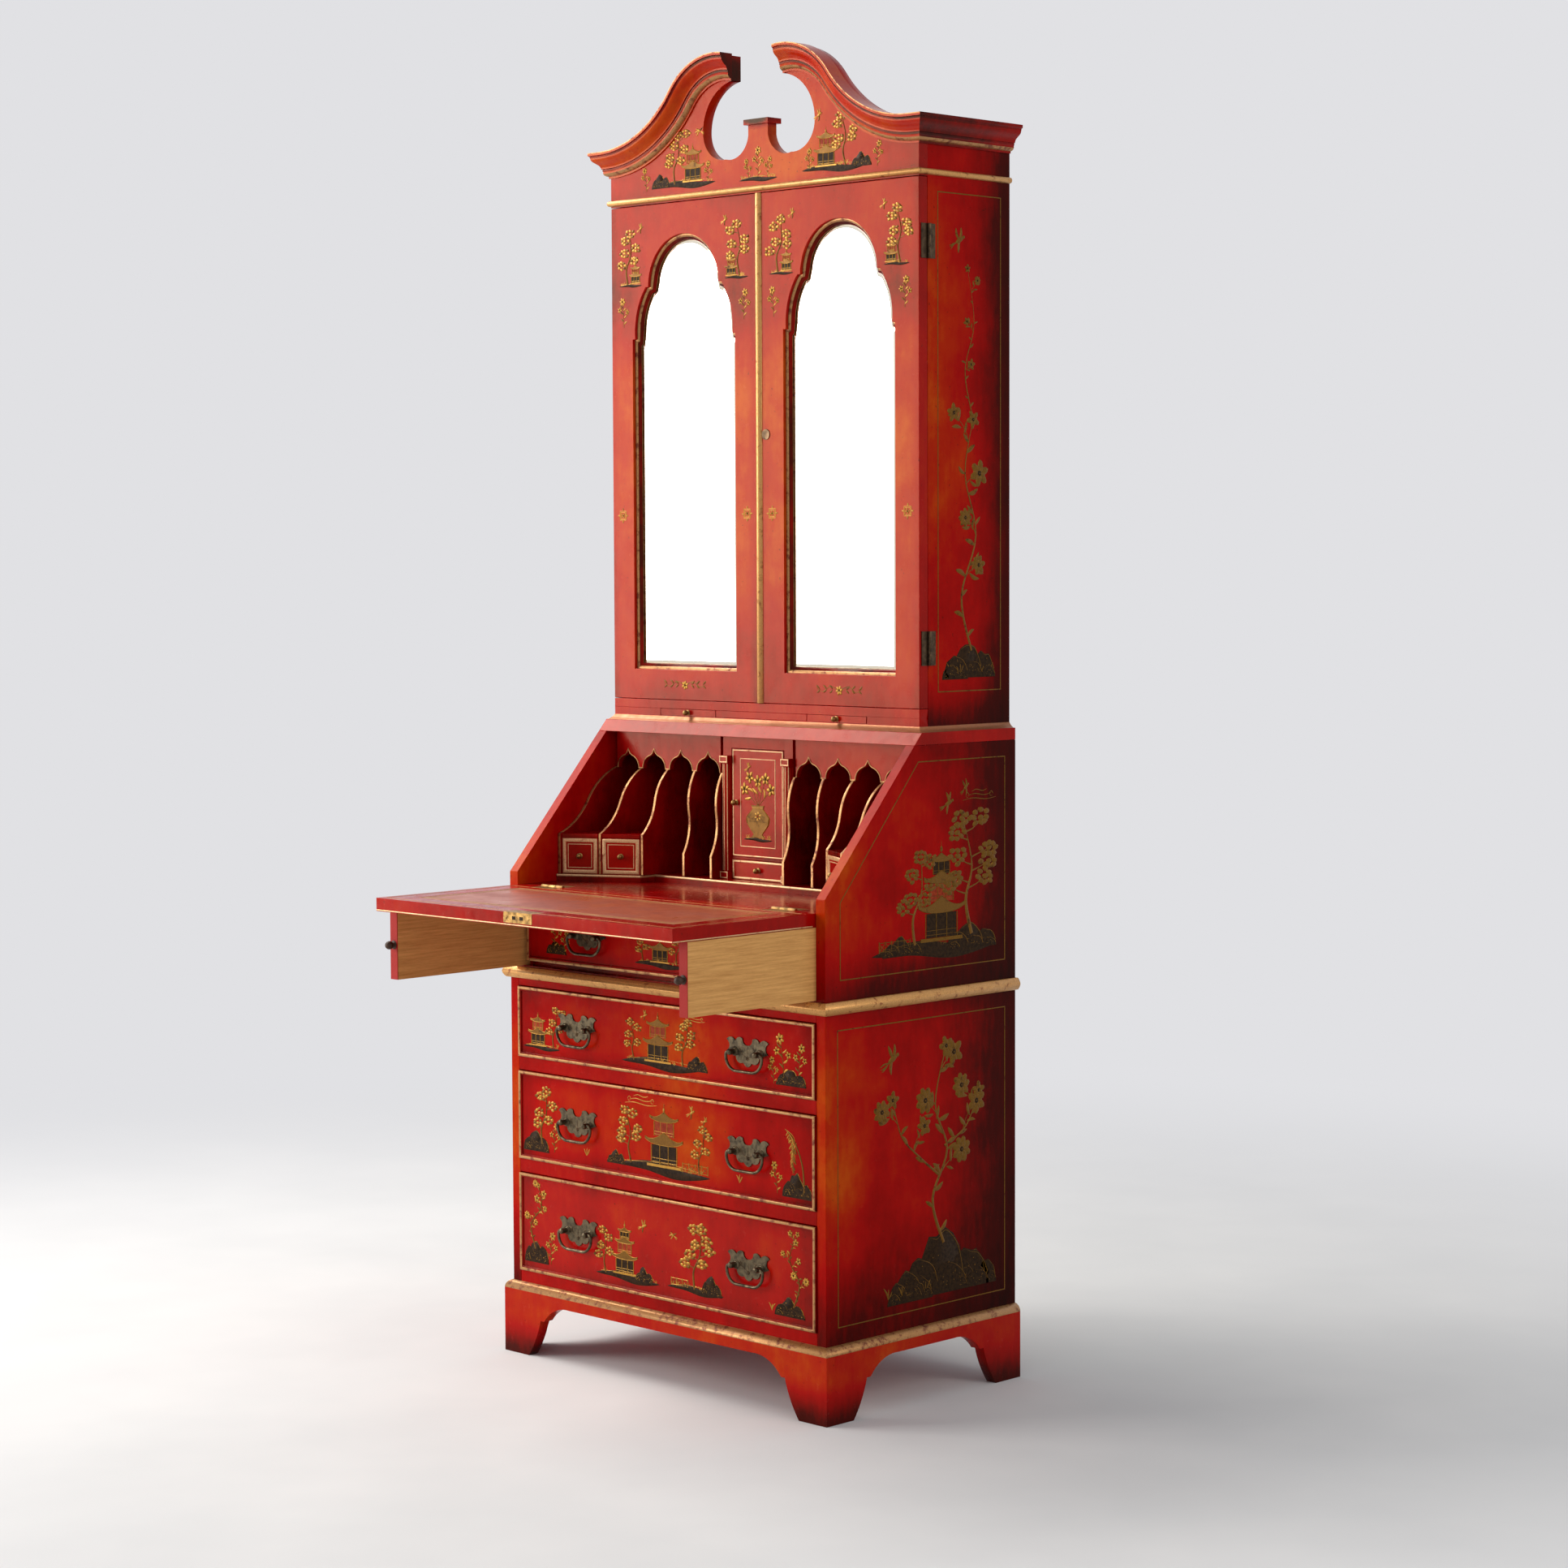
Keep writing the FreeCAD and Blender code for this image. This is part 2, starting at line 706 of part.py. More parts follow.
def pediment_board():
    """Frieze and pediment in one board, with an eye beside the middle post, and the post's cap."""
    foot, hollow_middle, turn, crest_middle, horn = neck_points(board_drop)
    cap_under = cornice_top + cap_top_drop - cap_height
    post_top = (post_half, cap_under)
    bottom = (eye_place, cornice_top - eye_bottom)
    reach = (eye_reach, frieze_bottom + eye_middle)
    horn_low = (horn_end, neck_points(cornice_height)[-1][1])
    waistline = (post_half, cornice_top)
    steps = [((cabinet_half, frieze_bottom),), (foot,), (hollow_middle, turn), (crest_middle, horn),
             (horn_low,), (bow(horn_low, reach, horn_bow_share), reach),
             (bow(reach, bottom, eye_bow_share), bottom),
             (bow(bottom, waistline, eye_bow_share), waistline), (post_top,), ((0, cap_under),),
             ((0, frieze_bottom),)]
    depth = carcase_front - cabinet_setback
    right = face_of(steps, on_front(cabinet_setback)).extrude(V(0, depth, 0))
    board = right.fuse(mirrored(right)).removeSplitter()
    cap_front = cabinet_setback + depth / 2 - cap_depth / 2
    cap = box(-cap_half, cap_half, cap_front, cap_front + cap_depth, cap_under, cap_under + cap_height)
    return [board, cap]


def cornice_mouldings():
    """Stepped swan necks on the front and straight returns on the sides."""
    necks = []
    returns = []
    for index, share in enumerate(band_reach_shares):
        reach = cornice_reach * share
        high = cornice_height * band_height_shares[index]
        low = cornice_height * band_height_shares[index + 1]
        end = cabinet_half + reach
        top = neck_points(high)
        under = neck_points(low)
        steps = [((end, cornice_top - low),), ((end, cornice_top - high),), (top[0],), (top[1], top[2]),
                 (top[3], top[4]), (under[4],), (under[3], under[2]), (under[1], under[0])]
        band = face_of(steps, on_front(cabinet_setback - reach)).extrude(V(0, reach, 0))
        necks.append(band)
        returns.append(box(cabinet_half, end, cabinet_setback, case_depth, cornice_top - low,
                           cornice_top - high))
    neck = necks[0].multiFuse(necks[1:]).removeSplitter()
    side = returns[0].multiFuse(returns[1:]).removeSplitter()
    return both(neck) + both(side)


def frieze_bead():
    """Half-round gilt bead between the doors and the frieze."""
    low = (0, 0)
    high = (0, frieze_bead_height)
    nose = (frieze_bead_reach, frieze_bead_height / 2)
    steps = [(nose, high), (low,)]
    return moulding(steps, frieze_bead_reach, cabinet_half, cabinet_setback, frieze_bottom + frieze_bead_lift)


def door_hinge_places():
    """Heights of the two hinges of a door."""
    return (door_bottom + lower_hinge_lift, door_top - upper_hinge_drop)


def door_hinge_halves(height):
    """Moving and fixed half of a hinge of the right-hand door."""
    placed = []
    leaf_low = -knuckle_radius - knuckle_gap
    for leaf in hinge_halves(door_hinge_length, door_leaf_width, leaf_low, leaf_sheet):
        leaf.translate(V(door_axis_x, carcase_front, height))
        placed.append(leaf)
    return placed


def prospect_pivot():
    """Foot of the upright pivot line of the prospect door."""
    return V(prospect_door_half - prospect_pivot_inset, valance_setback + prospect_board / 2, 0)


def fixed_hinge_leaves():
    """Fixed halves of the fall's and the doors' hinges, and the prospect door's two pivots."""
    solids = both(fall_hinge_halves()[1])
    for height in door_hinge_places():
        solids += both(door_hinge_halves(height)[1])
    head = desk_under - prospect_head
    foot = prospect_pivot()
    solids.append(rod(pivot_radius, foot + V(0, 0, prospect_floor_top),
                      foot + V(0, 0, prospect_floor_top + pivot_length)))
    solids.append(rod(pivot_radius, foot + V(0, 0, head - pivot_length), foot + V(0, 0, head)))
    return solids


def leather_box(margin, sheet):
    """Sheet on the writing side of the fall, that far from its edges."""
    return box(-fall_half + margin, fall_half - margin, fall_front + margin, fall_rear - margin,
               writing - sheet, writing)


def lock_plate_box():
    """Lock plate on the writing side at the free edge of the fall."""
    return box(-lock_plate_width / 2, lock_plate_width / 2, fall_front, fall_front + lock_plate_depth,
               writing - brass_sheet, writing)


def fall_board():
    """The fall, lying open, with pockets for its leather, lock plate and hinges."""
    board = box(-fall_half, fall_half, fall_front, fall_rear, fall_under, writing)
    pockets = both(fall_hinge_pocket()) + [leather_box(leather_margin - leather_fit, leather_thickness)]
    for pocket in pockets + [lock_plate_box()]:
        board = board.cut(pocket)
    return [board]


def fall_leather():
    """Leather of the writing surface."""
    return [leather_box(leather_margin, leather_thickness)]


def fall_brasses():
    """Lock plate and the moving hinge leaves."""
    return [lock_plate_box()] + both(fall_hinge_halves()[0])


def loper():
    """Right-hand loper, pulled out, with its knob."""
    front = -loper_reach
    board = box(loper_inner, loper_outer, front, front + loper_length, loper_bottom, loper_top)
    middle = V((loper_inner + loper_outer) / 2, front, (loper_bottom + loper_top) / 2)
    return [board, knob(loper_knob_radius, middle, V(0, -1, 0))]


def drawer_sizes():
    """Name, half width, bottom, top and handle place of each drawer in the case."""
    sizes = [("top_drawer", guide_inner - drawer_gap, top_drawer_floor + seat_gap,
              top_drawer_floor + top_drawer_height - drawer_gap, half - top_handle_inset)]
    for number, (floor, height) in enumerate(long_drawers, 1):
        sizes.append(("drawer_%d" % number, inner_half - drawer_gap, floor + seat_gap,
                      floor + height - drawer_gap, half - handle_inset))
    return sizes


def front_board(width_half, low, high):
    """Drawer front with a raised bead round its field."""
    board = box(-width_half, width_half, -drawer_proud, drawer_front - drawer_proud, low, high)
    field = box(-width_half + drawer_bead, width_half - drawer_bead, -drawer_proud - overrun,
                drawer_bead_depth - drawer_proud, low + drawer_bead, high - drawer_bead)
    return [board.cut(field)]


def drawer_box(width_half, low, high):
    """Two sides, a back and a bottom behind a drawer front."""
    front = drawer_front - drawer_proud
    back = inner_back - drawer_back_room
    top = high - drawer_head_room
    floor = low + drawer_bottom_lift
    inside = width_half - drawer_side
    return both(box(inside, width_half, front, back, low, top)) + [
        box(-inside, inside, back - drawer_side, back, low, top),
        box(-inside, inside, front, back - drawer_side, floor, floor + drawer_bottom)]


def field_face():
    """Place of the field of a drawer front, behind its raised bead."""
    return drawer_bead_depth - drawer_proud


def wing_plate(x, z):
    """Winged back plate of a handle, with its two bored posts."""
    wide = plate_width / 2
    tall = plate_height / 2
    right = [tuple((x + u * wide, z + v * tall) for u, v in step) for step in wing_shares]
    left = []
    for index in range(len(wing_shares) - 1, 0, -1):
        ends = [wing_shares[index - 1][-1]]
        step = [wing_shares[index][0]] + ends if len(wing_shares[index]) == 2 else ends
        left.append(tuple((x - u * wide, z + v * tall) for u, v in step))
    outline = right[1:] + left
    plate = face_of(outline, on_front(field_face())).extrude(V(0, -plate_thickness, 0))
    face = field_face() - plate_thickness
    pivot_y = face - bail_stand_off
    bore = rod(bail_radius + pin_gap, V(x - plate_width, pivot_y, z), V(x + plate_width, pivot_y, z))
    for side in (-1, 1):
        foot = V(x + side * post_spread / 2, face, z)
        plate = plate.fuse(rod(post_radius, foot, foot + V(0, -post_length, 0)))
    return plate.cut(bore)


def bail(x, z):
    """Hanging bail, its pins turned in through the posts."""
    pivot_y = field_face() - plate_thickness - bail_stand_off
    wide = bail_width / 2
    pin_end = (post_spread / 2 - post_radius, 0)
    shoulder = bail_shoulder_bend
    grip = bail_grip_bend
    right_angle_share = math.sqrt(2) / 2
    place = lambda u, v: V(x + u, pivot_y, z + v)

    def bend(corner_u, corner_v, out_u, out_v, radius):
        return (corner_u - out_u * radius * (1 - right_angle_share),
                corner_v - out_v * radius * (1 - right_angle_share))

    right = [((wide - shoulder, 0),), (bend(wide, 0, 1, 1, shoulder), (wide, -shoulder)),
             ((wide, grip - bail_drop),), (bend(wide, -bail_drop, 1, -1, grip), (wide - grip, -bail_drop))]
    left = [((grip - wide, -bail_drop),), (bend(-wide, -bail_drop, -1, -1, grip), (-wide, grip - bail_drop)),
            ((-wide, -shoulder),), (bend(-wide, 0, -1, 1, shoulder), (shoulder - wide, 0)),
            ((-pin_end[0], 0),)]
    edges = []
    start = pin_end
    for step in right + left:
        if len(step) == 2:
            edges.append(Part.Arc(place(*start), place(*step[0]), place(*step[1])).toShape())
        else:
            edges.append(Part.LineSegment(place(*start), place(*step[0])).toShape())
        start = step[-1]
    ring = Part.Wire(Part.makeCircle(bail_radius, place(*pin_end), V(1, 0, 0)))
    return Part.Wire(edges).makePipeShell([ring], True, False)


def splayed_drawer(limits):
    """Small right-hand drawer whose front follows the splay, with its knob."""
    x0 = limits[0] + seat_gap
    x1 = limits[1] - seat_gap
    low = base_top + seat_gap
    high = shelf_under - seat_gap
    side_high = high - inner_front
    floor = low + inner_side
    back = splay_y(x0) + inner_drawer_depth

    def strip(xa, xb, inset, end):
        return [(xb, splay_y(xb) + inset), (xb, end), (xa, end), (xa, splay_y(xa) + inset)]

    front_plan = [(x1, splay_y(x1)), (x1, splay_y(x1) + inner_front), (x0, splay_y(x0) + inner_front),
                  (x0, splay_y(x0))]
    solids = [plan_prism(front_plan, low, high),
              plan_prism(strip(x0, x0 + inner_side, inner_front, back), low, side_high),
              plan_prism(strip(x1 - inner_side, x1, inner_front, back), low, side_high),
              plan_prism(strip(x0 + inner_side, x1 - inner_side, inner_front, back), low, floor),
              box(x0 + inner_side, x1 - inner_side, back - inner_side, back, floor, side_high)]
    middle = (x0 + x1) / 2
    way = V(-splay_step, -bay_pitch, 0)
    way.normalize()
    solids.append(knob(inner_knob_radius, V(middle, splay_y(middle), (low + high) / 2), way))
    return solids


def centre_drawer():
    """Small drawer under the prospect door, with its knob."""
    wide = column_half - seat_gap * 2
    low = base_top + seat_gap
    high = base_top + prospect_drawer_height - seat_gap
    front = valance_setback
    side_high = high - inner_front
    back = inner_back - drawer_back_room
    floor = low + inner_side
    inside = wide - inner_side
    solids = [box(-wide, wide, front, front + inner_front, low, high)]
    solids += both(box(inside, wide, front + inner_front, back, low, side_high))
    solids.append(box(-inside, inside, front + inner_front, back, low, floor))
    solids.append(box(-inside, inside, back - inner_side, back, floor, side_high))
    solids.append(knob(inner_knob_radius, V(0, front, (low + high) / 2), V(0, -1, 0)))
    return solids


def prospect_door():
    """Door of the middle compartment, bored for its pivots, with its knob."""
    wide = prospect_door_half
    low = prospect_floor_top + seat_gap
    door = box(-wide, wide, valance_setback, valance_setback + prospect_board, low, prospect_door_top)
    foot = prospect_pivot()
    bore_radius = pivot_radius + pin_gap
    bore_depth = pivot_length + seat_gap
    door = door.cut(rod(bore_radius, foot + V(0, 0, low), foot + V(0, 0, low + bore_depth)))
    door = door.cut(rod(bore_radius, foot + V(0, 0, prospect_door_top - bore_depth),
                        foot + V(0, 0, prospect_door_top)))
    knob_foot = V(inner_front - wide, valance_setback, (low + prospect_door_top) / 2)
    return [door, knob(inner_knob_radius, knob_foot, V(0, -1, 0))]


def candle_slide():
    """Right-hand candle slide, pushed in, with its knob."""
    low = candle_bottom + seat_gap
    high = candle_top - seat_gap
    slide = box(candle_x - candle_width / 2, candle_x + candle_width / 2, cabinet_setback,
                cabinet_setback + candle_length, low, high)
    foot = V(candle_x, cabinet_setback, (low + high) / 2)
    return [slide, knob(candle_knob_radius, foot, V(0, -1, 0))]


def mirror_steps(middle):
    """Outline (x, z) of a mirror opening: straight sides, two lobes and a round head."""
    sill = door_bottom + mirror_sill
    shoulder = door_bottom + shoulder_height
    head = door_bottom + head_height
    lobe_foot = mirror_half - shoulder_step
    lobe_top = head_radius + shoulder_step

    def at(u, z):
        return (middle + u, z)

    return [(at(mirror_half, sill),), (at(mirror_half, shoulder),), (at(lobe_foot, shoulder),),
            (bow(at(lobe_foot, shoulder), at(lobe_top, head), -lobe_bow_share), at(lobe_top, head)),
            (at(head_radius, head),), (at(0, head + head_radius), at(-head_radius, head)),
            (at(-lobe_top, head),),
            (bow(at(-lobe_top, head), at(-lobe_foot, shoulder), -lobe_bow_share),
             at(-lobe_foot, shoulder)),
            (at(-mirror_half, shoulder),), (at(-mirror_half, sill),)]


def rebate_box(middle, y0, y1, fit):
    """Room behind a mirror opening for the glass and its backing board."""
    wide = mirror_half + rebate_margin - fit
    low = door_bottom + mirror_sill - rebate_margin + fit
    high = door_bottom + head_height + head_radius + rebate_margin - fit
    return box(middle - wide, middle + wide, y0, y1, low, high)


def door_frame(x0, x1, middle):
    """Door frame with its shaped opening and the rebate behind it."""
    back = cabinet_setback + door_thickness
    frame = box(x0, x1, cabinet_setback, back, door_bottom, door_top)
    opening = face_of(mirror_steps(middle), on_front(cabinet_setback - overrun))
    frame = frame.cut(opening.extrude(V(0, door_thickness + 2 * overrun, 0)))
    return [frame.cut(rebate_box(middle, back - rebate_depth, back + overrun, 0))]


def door_mirror(middle):
    """Mirror glass in the rebate."""
    front = cabinet_setback + door_thickness - rebate_depth
    return [rebate_box(middle, front, front + mirror_glass, leather_fit)]


def door_back(middle):
    """Backing board behind the mirror."""
    back = cabinet_setback + door_thickness
    return [rebate_box(middle, back - rebate_depth + mirror_glass, back, leather_fit)]


def door_brasses():
    """Moving hinge halves of the right-hand door."""
    return [door_hinge_halves(height)[0] for height in door_hinge_places()]


def door_astragal():
    """Half-round bead that hides the joint between the doors, on the right-hand door."""
    wide = astragal_width / 2
    steps = [((0, cabinet_setback - astragal_reach), (wide, cabinet_setback)), ((-wide, cabinet_setback),)]
    return [face_of(steps, on_plan(door_bottom)).extrude(V(0, 0, door_height))]


def escutcheon():
    """Round keyhole plate beside the astragal."""
    foot = V(astragal_width / 2 + escutcheon_radius, cabinet_setback, door_bottom + escutcheon_height)
    return rod(escutcheon_radius, foot, foot + V(0, -brass_sheet, 0))


def all_nodes():
    """Every sub-part of the cabinet, by name."""
    nodes = {"bracket_base": bracket_base(), "plinth_bead": plinth_bead(), "base_sides": base_sides(),
             "base_rails": base_rails(), "waist_moulding": waist_moulding(), "desk_sides": desk_sides(),
             "desk_bed": desk_bed(), "desk_top": desk_top(), "pigeonhole_dividers": pigeonhole_dividers(),
             "pigeonhole_valances": pigeonhole_valances(), "prospect_columns": prospect_columns(),
             "back_panels": back_panels(), "cabinet_sides": cabinet_sides(),
             "cabinet_boards": cabinet_boards(), "cabinet_beads": foot_moulding() + frieze_bead(),
             "pediment_board": pediment_board(), "cornice_mouldings": cornice_mouldings(),
             "fixed_hinge_leaves": fixed_hinge_leaves(), "fall_board": fall_board(),
             "fall_leather": fall_leather(), "fall_brasses": fall_brasses(),
             "centre_drawer": centre_drawer(), "prospect_door": prospect_door()}
    twins = {"loper": loper(), "candle_slide": candle_slide()}
    for place, limits in zip(("outer", "inner"), drawer_bay_limits()):
        twins["inner_drawer_" + place] = splayed_drawer(limits)
    for name, solids in twins.items():
        nodes[name + "_right"] = solids
        nodes[name + "_left"] = [mirrored(solid) for solid in solids]
    for name, wide, low, high, grip_x in drawer_sizes():
        grip_z = (low + high) / 2
        nodes[name + "_front"] = front_board(wide, low, high)
        nodes[name + "_box"] = drawer_box(wide - drawer_gap, low, high)
        nodes[name + "_plates"] = [wing_plate(-grip_x, grip_z), wing_plate(grip_x, grip_z)]
        nodes[name + "_bail_left"] = [bail(-grip_x, grip_z)]
        nodes[name + "_bail_right"] = [bail(grip_x, grip_z)]
    meeting = -meeting_offset
    nodes["door_right_frame"] = door_frame(meeting + door_gap / 2, cabinet_half, mirror_x)
    nodes["door_left_frame"] = door_frame(-cabinet_half, meeting - door_gap / 2, -mirror_x)
    nodes["door_right_mirror"] = door_mirror(mirror_x)
    nodes["door_left_mirror"] = door_mirror(-mirror_x)
    nodes["door_right_back"] = door_back(mirror_x)
    nodes["door_left_back"] = door_back(-mirror_x)
    nodes["door_right_brasses"] = door_brasses() + [escutcheon()]
    nodes["door_left_brasses"] = [mirrored(leaf) for leaf in door_brasses()]
    nodes["door_astragal"] = door_astragal()
    return nodes


def export(nodes):
    """Writes one file for each node, with the origin in the middle of the footprint."""
    os.makedirs("parts", exist_ok=True)
    for name, solids in nodes.items():
        shape = Part.makeCompound(solids)
        shape.translate(V(0, -origin_y, 0))
        shape.exportStep("parts/" + name + ".step")


export(all_nodes())
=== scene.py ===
"""Writing cabinet: looks, raised ornament, mouldings and stage over the shared frame."""

import math
import random

import bmesh
import bpy
from bpy.props import FloatProperty, FloatVectorProperty, PointerProperty
from mathutils import Matrix, Vector


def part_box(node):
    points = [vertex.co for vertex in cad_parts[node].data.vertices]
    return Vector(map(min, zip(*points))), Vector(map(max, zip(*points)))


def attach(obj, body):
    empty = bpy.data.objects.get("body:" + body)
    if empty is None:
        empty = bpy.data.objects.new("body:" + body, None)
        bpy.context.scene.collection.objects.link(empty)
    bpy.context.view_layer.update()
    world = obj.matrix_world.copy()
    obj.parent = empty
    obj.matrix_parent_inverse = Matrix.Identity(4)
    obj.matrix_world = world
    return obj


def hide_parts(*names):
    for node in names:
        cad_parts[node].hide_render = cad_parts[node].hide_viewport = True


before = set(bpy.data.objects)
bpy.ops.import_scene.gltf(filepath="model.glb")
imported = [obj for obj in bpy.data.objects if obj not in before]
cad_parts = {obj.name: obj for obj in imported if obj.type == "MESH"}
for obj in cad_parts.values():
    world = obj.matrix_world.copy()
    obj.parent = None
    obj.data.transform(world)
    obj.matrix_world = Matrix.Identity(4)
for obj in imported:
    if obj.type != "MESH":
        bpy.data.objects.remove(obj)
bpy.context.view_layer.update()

bl_info = {
    "name": "Writing Cabinet",
    "version": (1, 0, 0),
    "blender": (4, 5, 0),
    "location": "View3D > Sidebar > Cabinet",
    "description": "Builds the looks of a red lacquered writing cabinet over its CAD pieces",
    "category": "Object",
}

MM = 0.001
SIDES = ((-1, "left"), (1, "right"))
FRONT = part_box("base_sides")[0].y   # y of the lower case's front edges


def front_of(name):
    """How far a node's front lies behind the lower case's front, in mm."""
    return (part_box(name)[0].y - FRONT) / MM


# in mm: x from the middle, depths from the lower case's front, heights from the floor
CASE = 340.0                            # half width of the desk and the lower case
CABINET, CABINET_FRONT = 328.0, 212.5   # half width and front of the upper cabinet
DEPTH = 412.0                           # back of the case
FIELD = 2.0                             # a drawer's field, behind the front of its raised edge
WRITING = 734.0                         # top of the open fall
DESK_FLOOR = 746.0                      # foot of the pigeonholes, columns and small drawers
COLUMN = 66.0                           # middle of a column beside the prospect door
BAY_START, BAY = 81.0, 61.0             # first pigeonhole, and the pitch of all
VALANCE = 907.0                         # where the arches of the valances spring
DOOR_MIDDLE = 166.0                     # middle of a cabinet door
CORNICE_TOP = 1874.0                    # top of the straight cornice
CREST = (72.0, 2002.0)                  # top of a swan neck
HORN_END = 55.0                         # inner end of a swan neck
SETBACK = front_of("pigeonhole_valances")  # front of the pigeonholes
SMALL_DRAWERS = {"outer": (264.4, 315.6), "inner": (203.4, 257.6)}  # their ends, from the middle
FRONT_DRAWERS = ("top_drawer", "drawer_1", "drawer_2", "drawer_3")
KNOB, LOPER_KNOB = 4.0, 6.0             # radii of the knobs
KNOB_LENGTH = 2.45                      # of a loper's CAD knob, in radii
SUNK = 0.3                              # how far raised work reaches into its ground
GOLD, BRONZE, EARTH, ROSE = range(4)    # material slots of the raised ornament
BACKDROP = "#E1E1E4"                    # the studio far away
GLOSS = 0.14                            # usual polish of the lacquer


# Colours and nodes

EASED = {"interpolation_type": "SMOOTHSTEP"}
MIXED = {"data_type": "RGBA", "out": 2}


def linear(code):
    """Turns an sRGB hex colour into the linear RGBA that shaders take."""
    channels = [int(code[i:i + 2], 16) / 255 for i in (1, 3, 5)]
    return [c / 12.92 if c <= 0.04045 else ((c + 0.055) / 1.055) ** 2.4 for c in channels] + [1.0]


def add(tree, kind, sockets=(), out=0, stops=(), **settings):
    """Adds a node, or takes one that is there, sets or links its sockets and gives one of its outputs.

    Sockets are named, or listed in order. Stops are the (place, hex colour) bands of a colour ramp.
    """
    node = tree.nodes.new(f"ShaderNode{kind}") if isinstance(kind, str) else kind
    for name, value in settings.items():
        setattr(node, name, value)
    for i, (place, code) in enumerate(stops):
        bands = node.color_ramp.elements
        band = bands[i] if i < 2 else bands.new(place)
        band.position, band.color = place, linear(code)
    for name, value in sockets.items() if isinstance(sockets, dict) else enumerate(sockets):
        if isinstance(value, bpy.types.NodeSocket):
            tree.links.new(value, node.inputs[name])
        else:
            node.inputs[name].default_value = value
    return node.outputs[out] if node.outputs else None


def per(size):
    """A pattern's scale for patches about `size` millimetres wide."""
    return 1 / (size * MM)


def material(name):
    """Starts a material and gives it with its tree, its shader and the object coordinates."""
    made = bpy.data.materials.new(name)
    made.use_nodes = True
    tree = made.node_tree
    return made, tree, tree.nodes["Principled BSDF"], add(tree, "TexCoord", out="Object")


def lowered(tree, where, colour, low):
    """Turns a colour to another below a height: low is that height in metres and the hex colour."""
    height = add(tree, "SeparateXYZ", [where], "Z")
    below = add(tree, "MapRange", [height, low[0] + 0.05, low[0] - 0.05], **EASED)
    return add(tree, "Mix", {0: below, 6: colour, 7: linear(low[1])}, **MIXED)


# Materials

def red_lacquer(name, fades=(), glows=(), lift=0.0, gloss=GLOSS):
    """Red japanned lacquer: a deep polished scarlet, darker at its edges as antiqued lacquer and as painted
    shade, with painted glows of light in places.

    Each fade is an axis, an edge on it, the soft width inwards from there in metres, and the share of tone
    left at the edge. Each glow, painted light where its tone is added and painted shade where it is taken
    away, is a point, its reach along x, y and z, and the tone it adds. Lift brightens or dulls it all, and
    gloss is the strength of its polish.
    """
    made, tree, shader, where = material(name)
    axes = add(tree, "SeparateXYZ", [where]).node.outputs
    clouds = add(tree, "TexNoise", {"Vector": where, "Scale": per(130), "Detail": 6.0, "Roughness": 0.62})
    along = add(tree, "Mapping", {"Vector": where, "Scale": (1.0, 1.0, 0.25)})
    strokes = add(tree, "TexNoise", {"Vector": along, "Scale": per(9), "Detail": 3.0, "Roughness": 0.55})
    tone = add(tree, "MapRange", [clouds, 0.25, 0.75, 0.4 + lift, 0.74 + lift], **EASED)
    for axis, edge, soft, least in fades:
        share = add(tree, "MapRange", [axes[axis], edge, edge + soft, least, 1.0], **EASED)
        tone = add(tree, "Math", [tone, share], operation="MULTIPLY")
    for centre, reach, amount in glows:
        near = add(tree, "Mapping", {"Vector": where, "Location": [-c / r for c, r in zip(centre, reach)],
                                     "Scale": [1 / r for r in reach]})
        away = add(tree, "VectorMath", [near], "Value", operation="LENGTH")
        warmth = add(tree, "MapRange", [away, 0.0, 1.0, amount, 0.0], **EASED)
        tone = add(tree, "Math", [tone, warmth], operation="ADD")
    streaks = add(tree, "MapRange", [strokes, 0.3, 0.7, -0.03, 0.03], **EASED)
    tone = add(tree, "Math", [tone, streaks], operation="ADD")
    base = add(tree, "ValToRGB", [tone], stops=((0.0, "#1C0806"), (0.2, "#480605"), (0.42, "#8C0505"),
                                               (0.62, "#A80908"), (0.8, "#B22606"), (1.0, "#C04C0A")))
    over = list(bpy.context.scene.cabinet_colours.lacquer) + [1.0]
    tint = add(tree, "Mix", {0: 1.0, 6: base, 7: over}, blend_type="MULTIPLY", **MIXED)
    specks = add(tree, "TexNoise", {"Vector": where, "Scale": per(5), "Detail": 2.0, "Roughness": 0.5})
    aged = add(tree, "MapRange", [specks, 0.69, 0.76, 0.0, 0.55], **EASED)
    tint = add(tree, "Mix", {0: aged, 6: tint, 7: linear("#2A0A05")}, **MIXED)
    wear = add(tree, "TexNoise", {"Vector": where, "Scale": per(14), "Detail": 6.0, "Roughness": 0.7})
    polish = add(tree, "MapRange", [wear, 0.3, 0.75, 0.15, 0.3], **EASED)
    brushed = add(tree, "Bump", {"Height": strokes, "Distance": 0.12 * MM, "Strength": 0.4})
    add(tree, shader, {"Base Color": tint, "Roughness": polish, "Specular IOR Level": gloss,
                       "Specular Tint": linear("#FFC896"), "Normal": brushed})
    return made


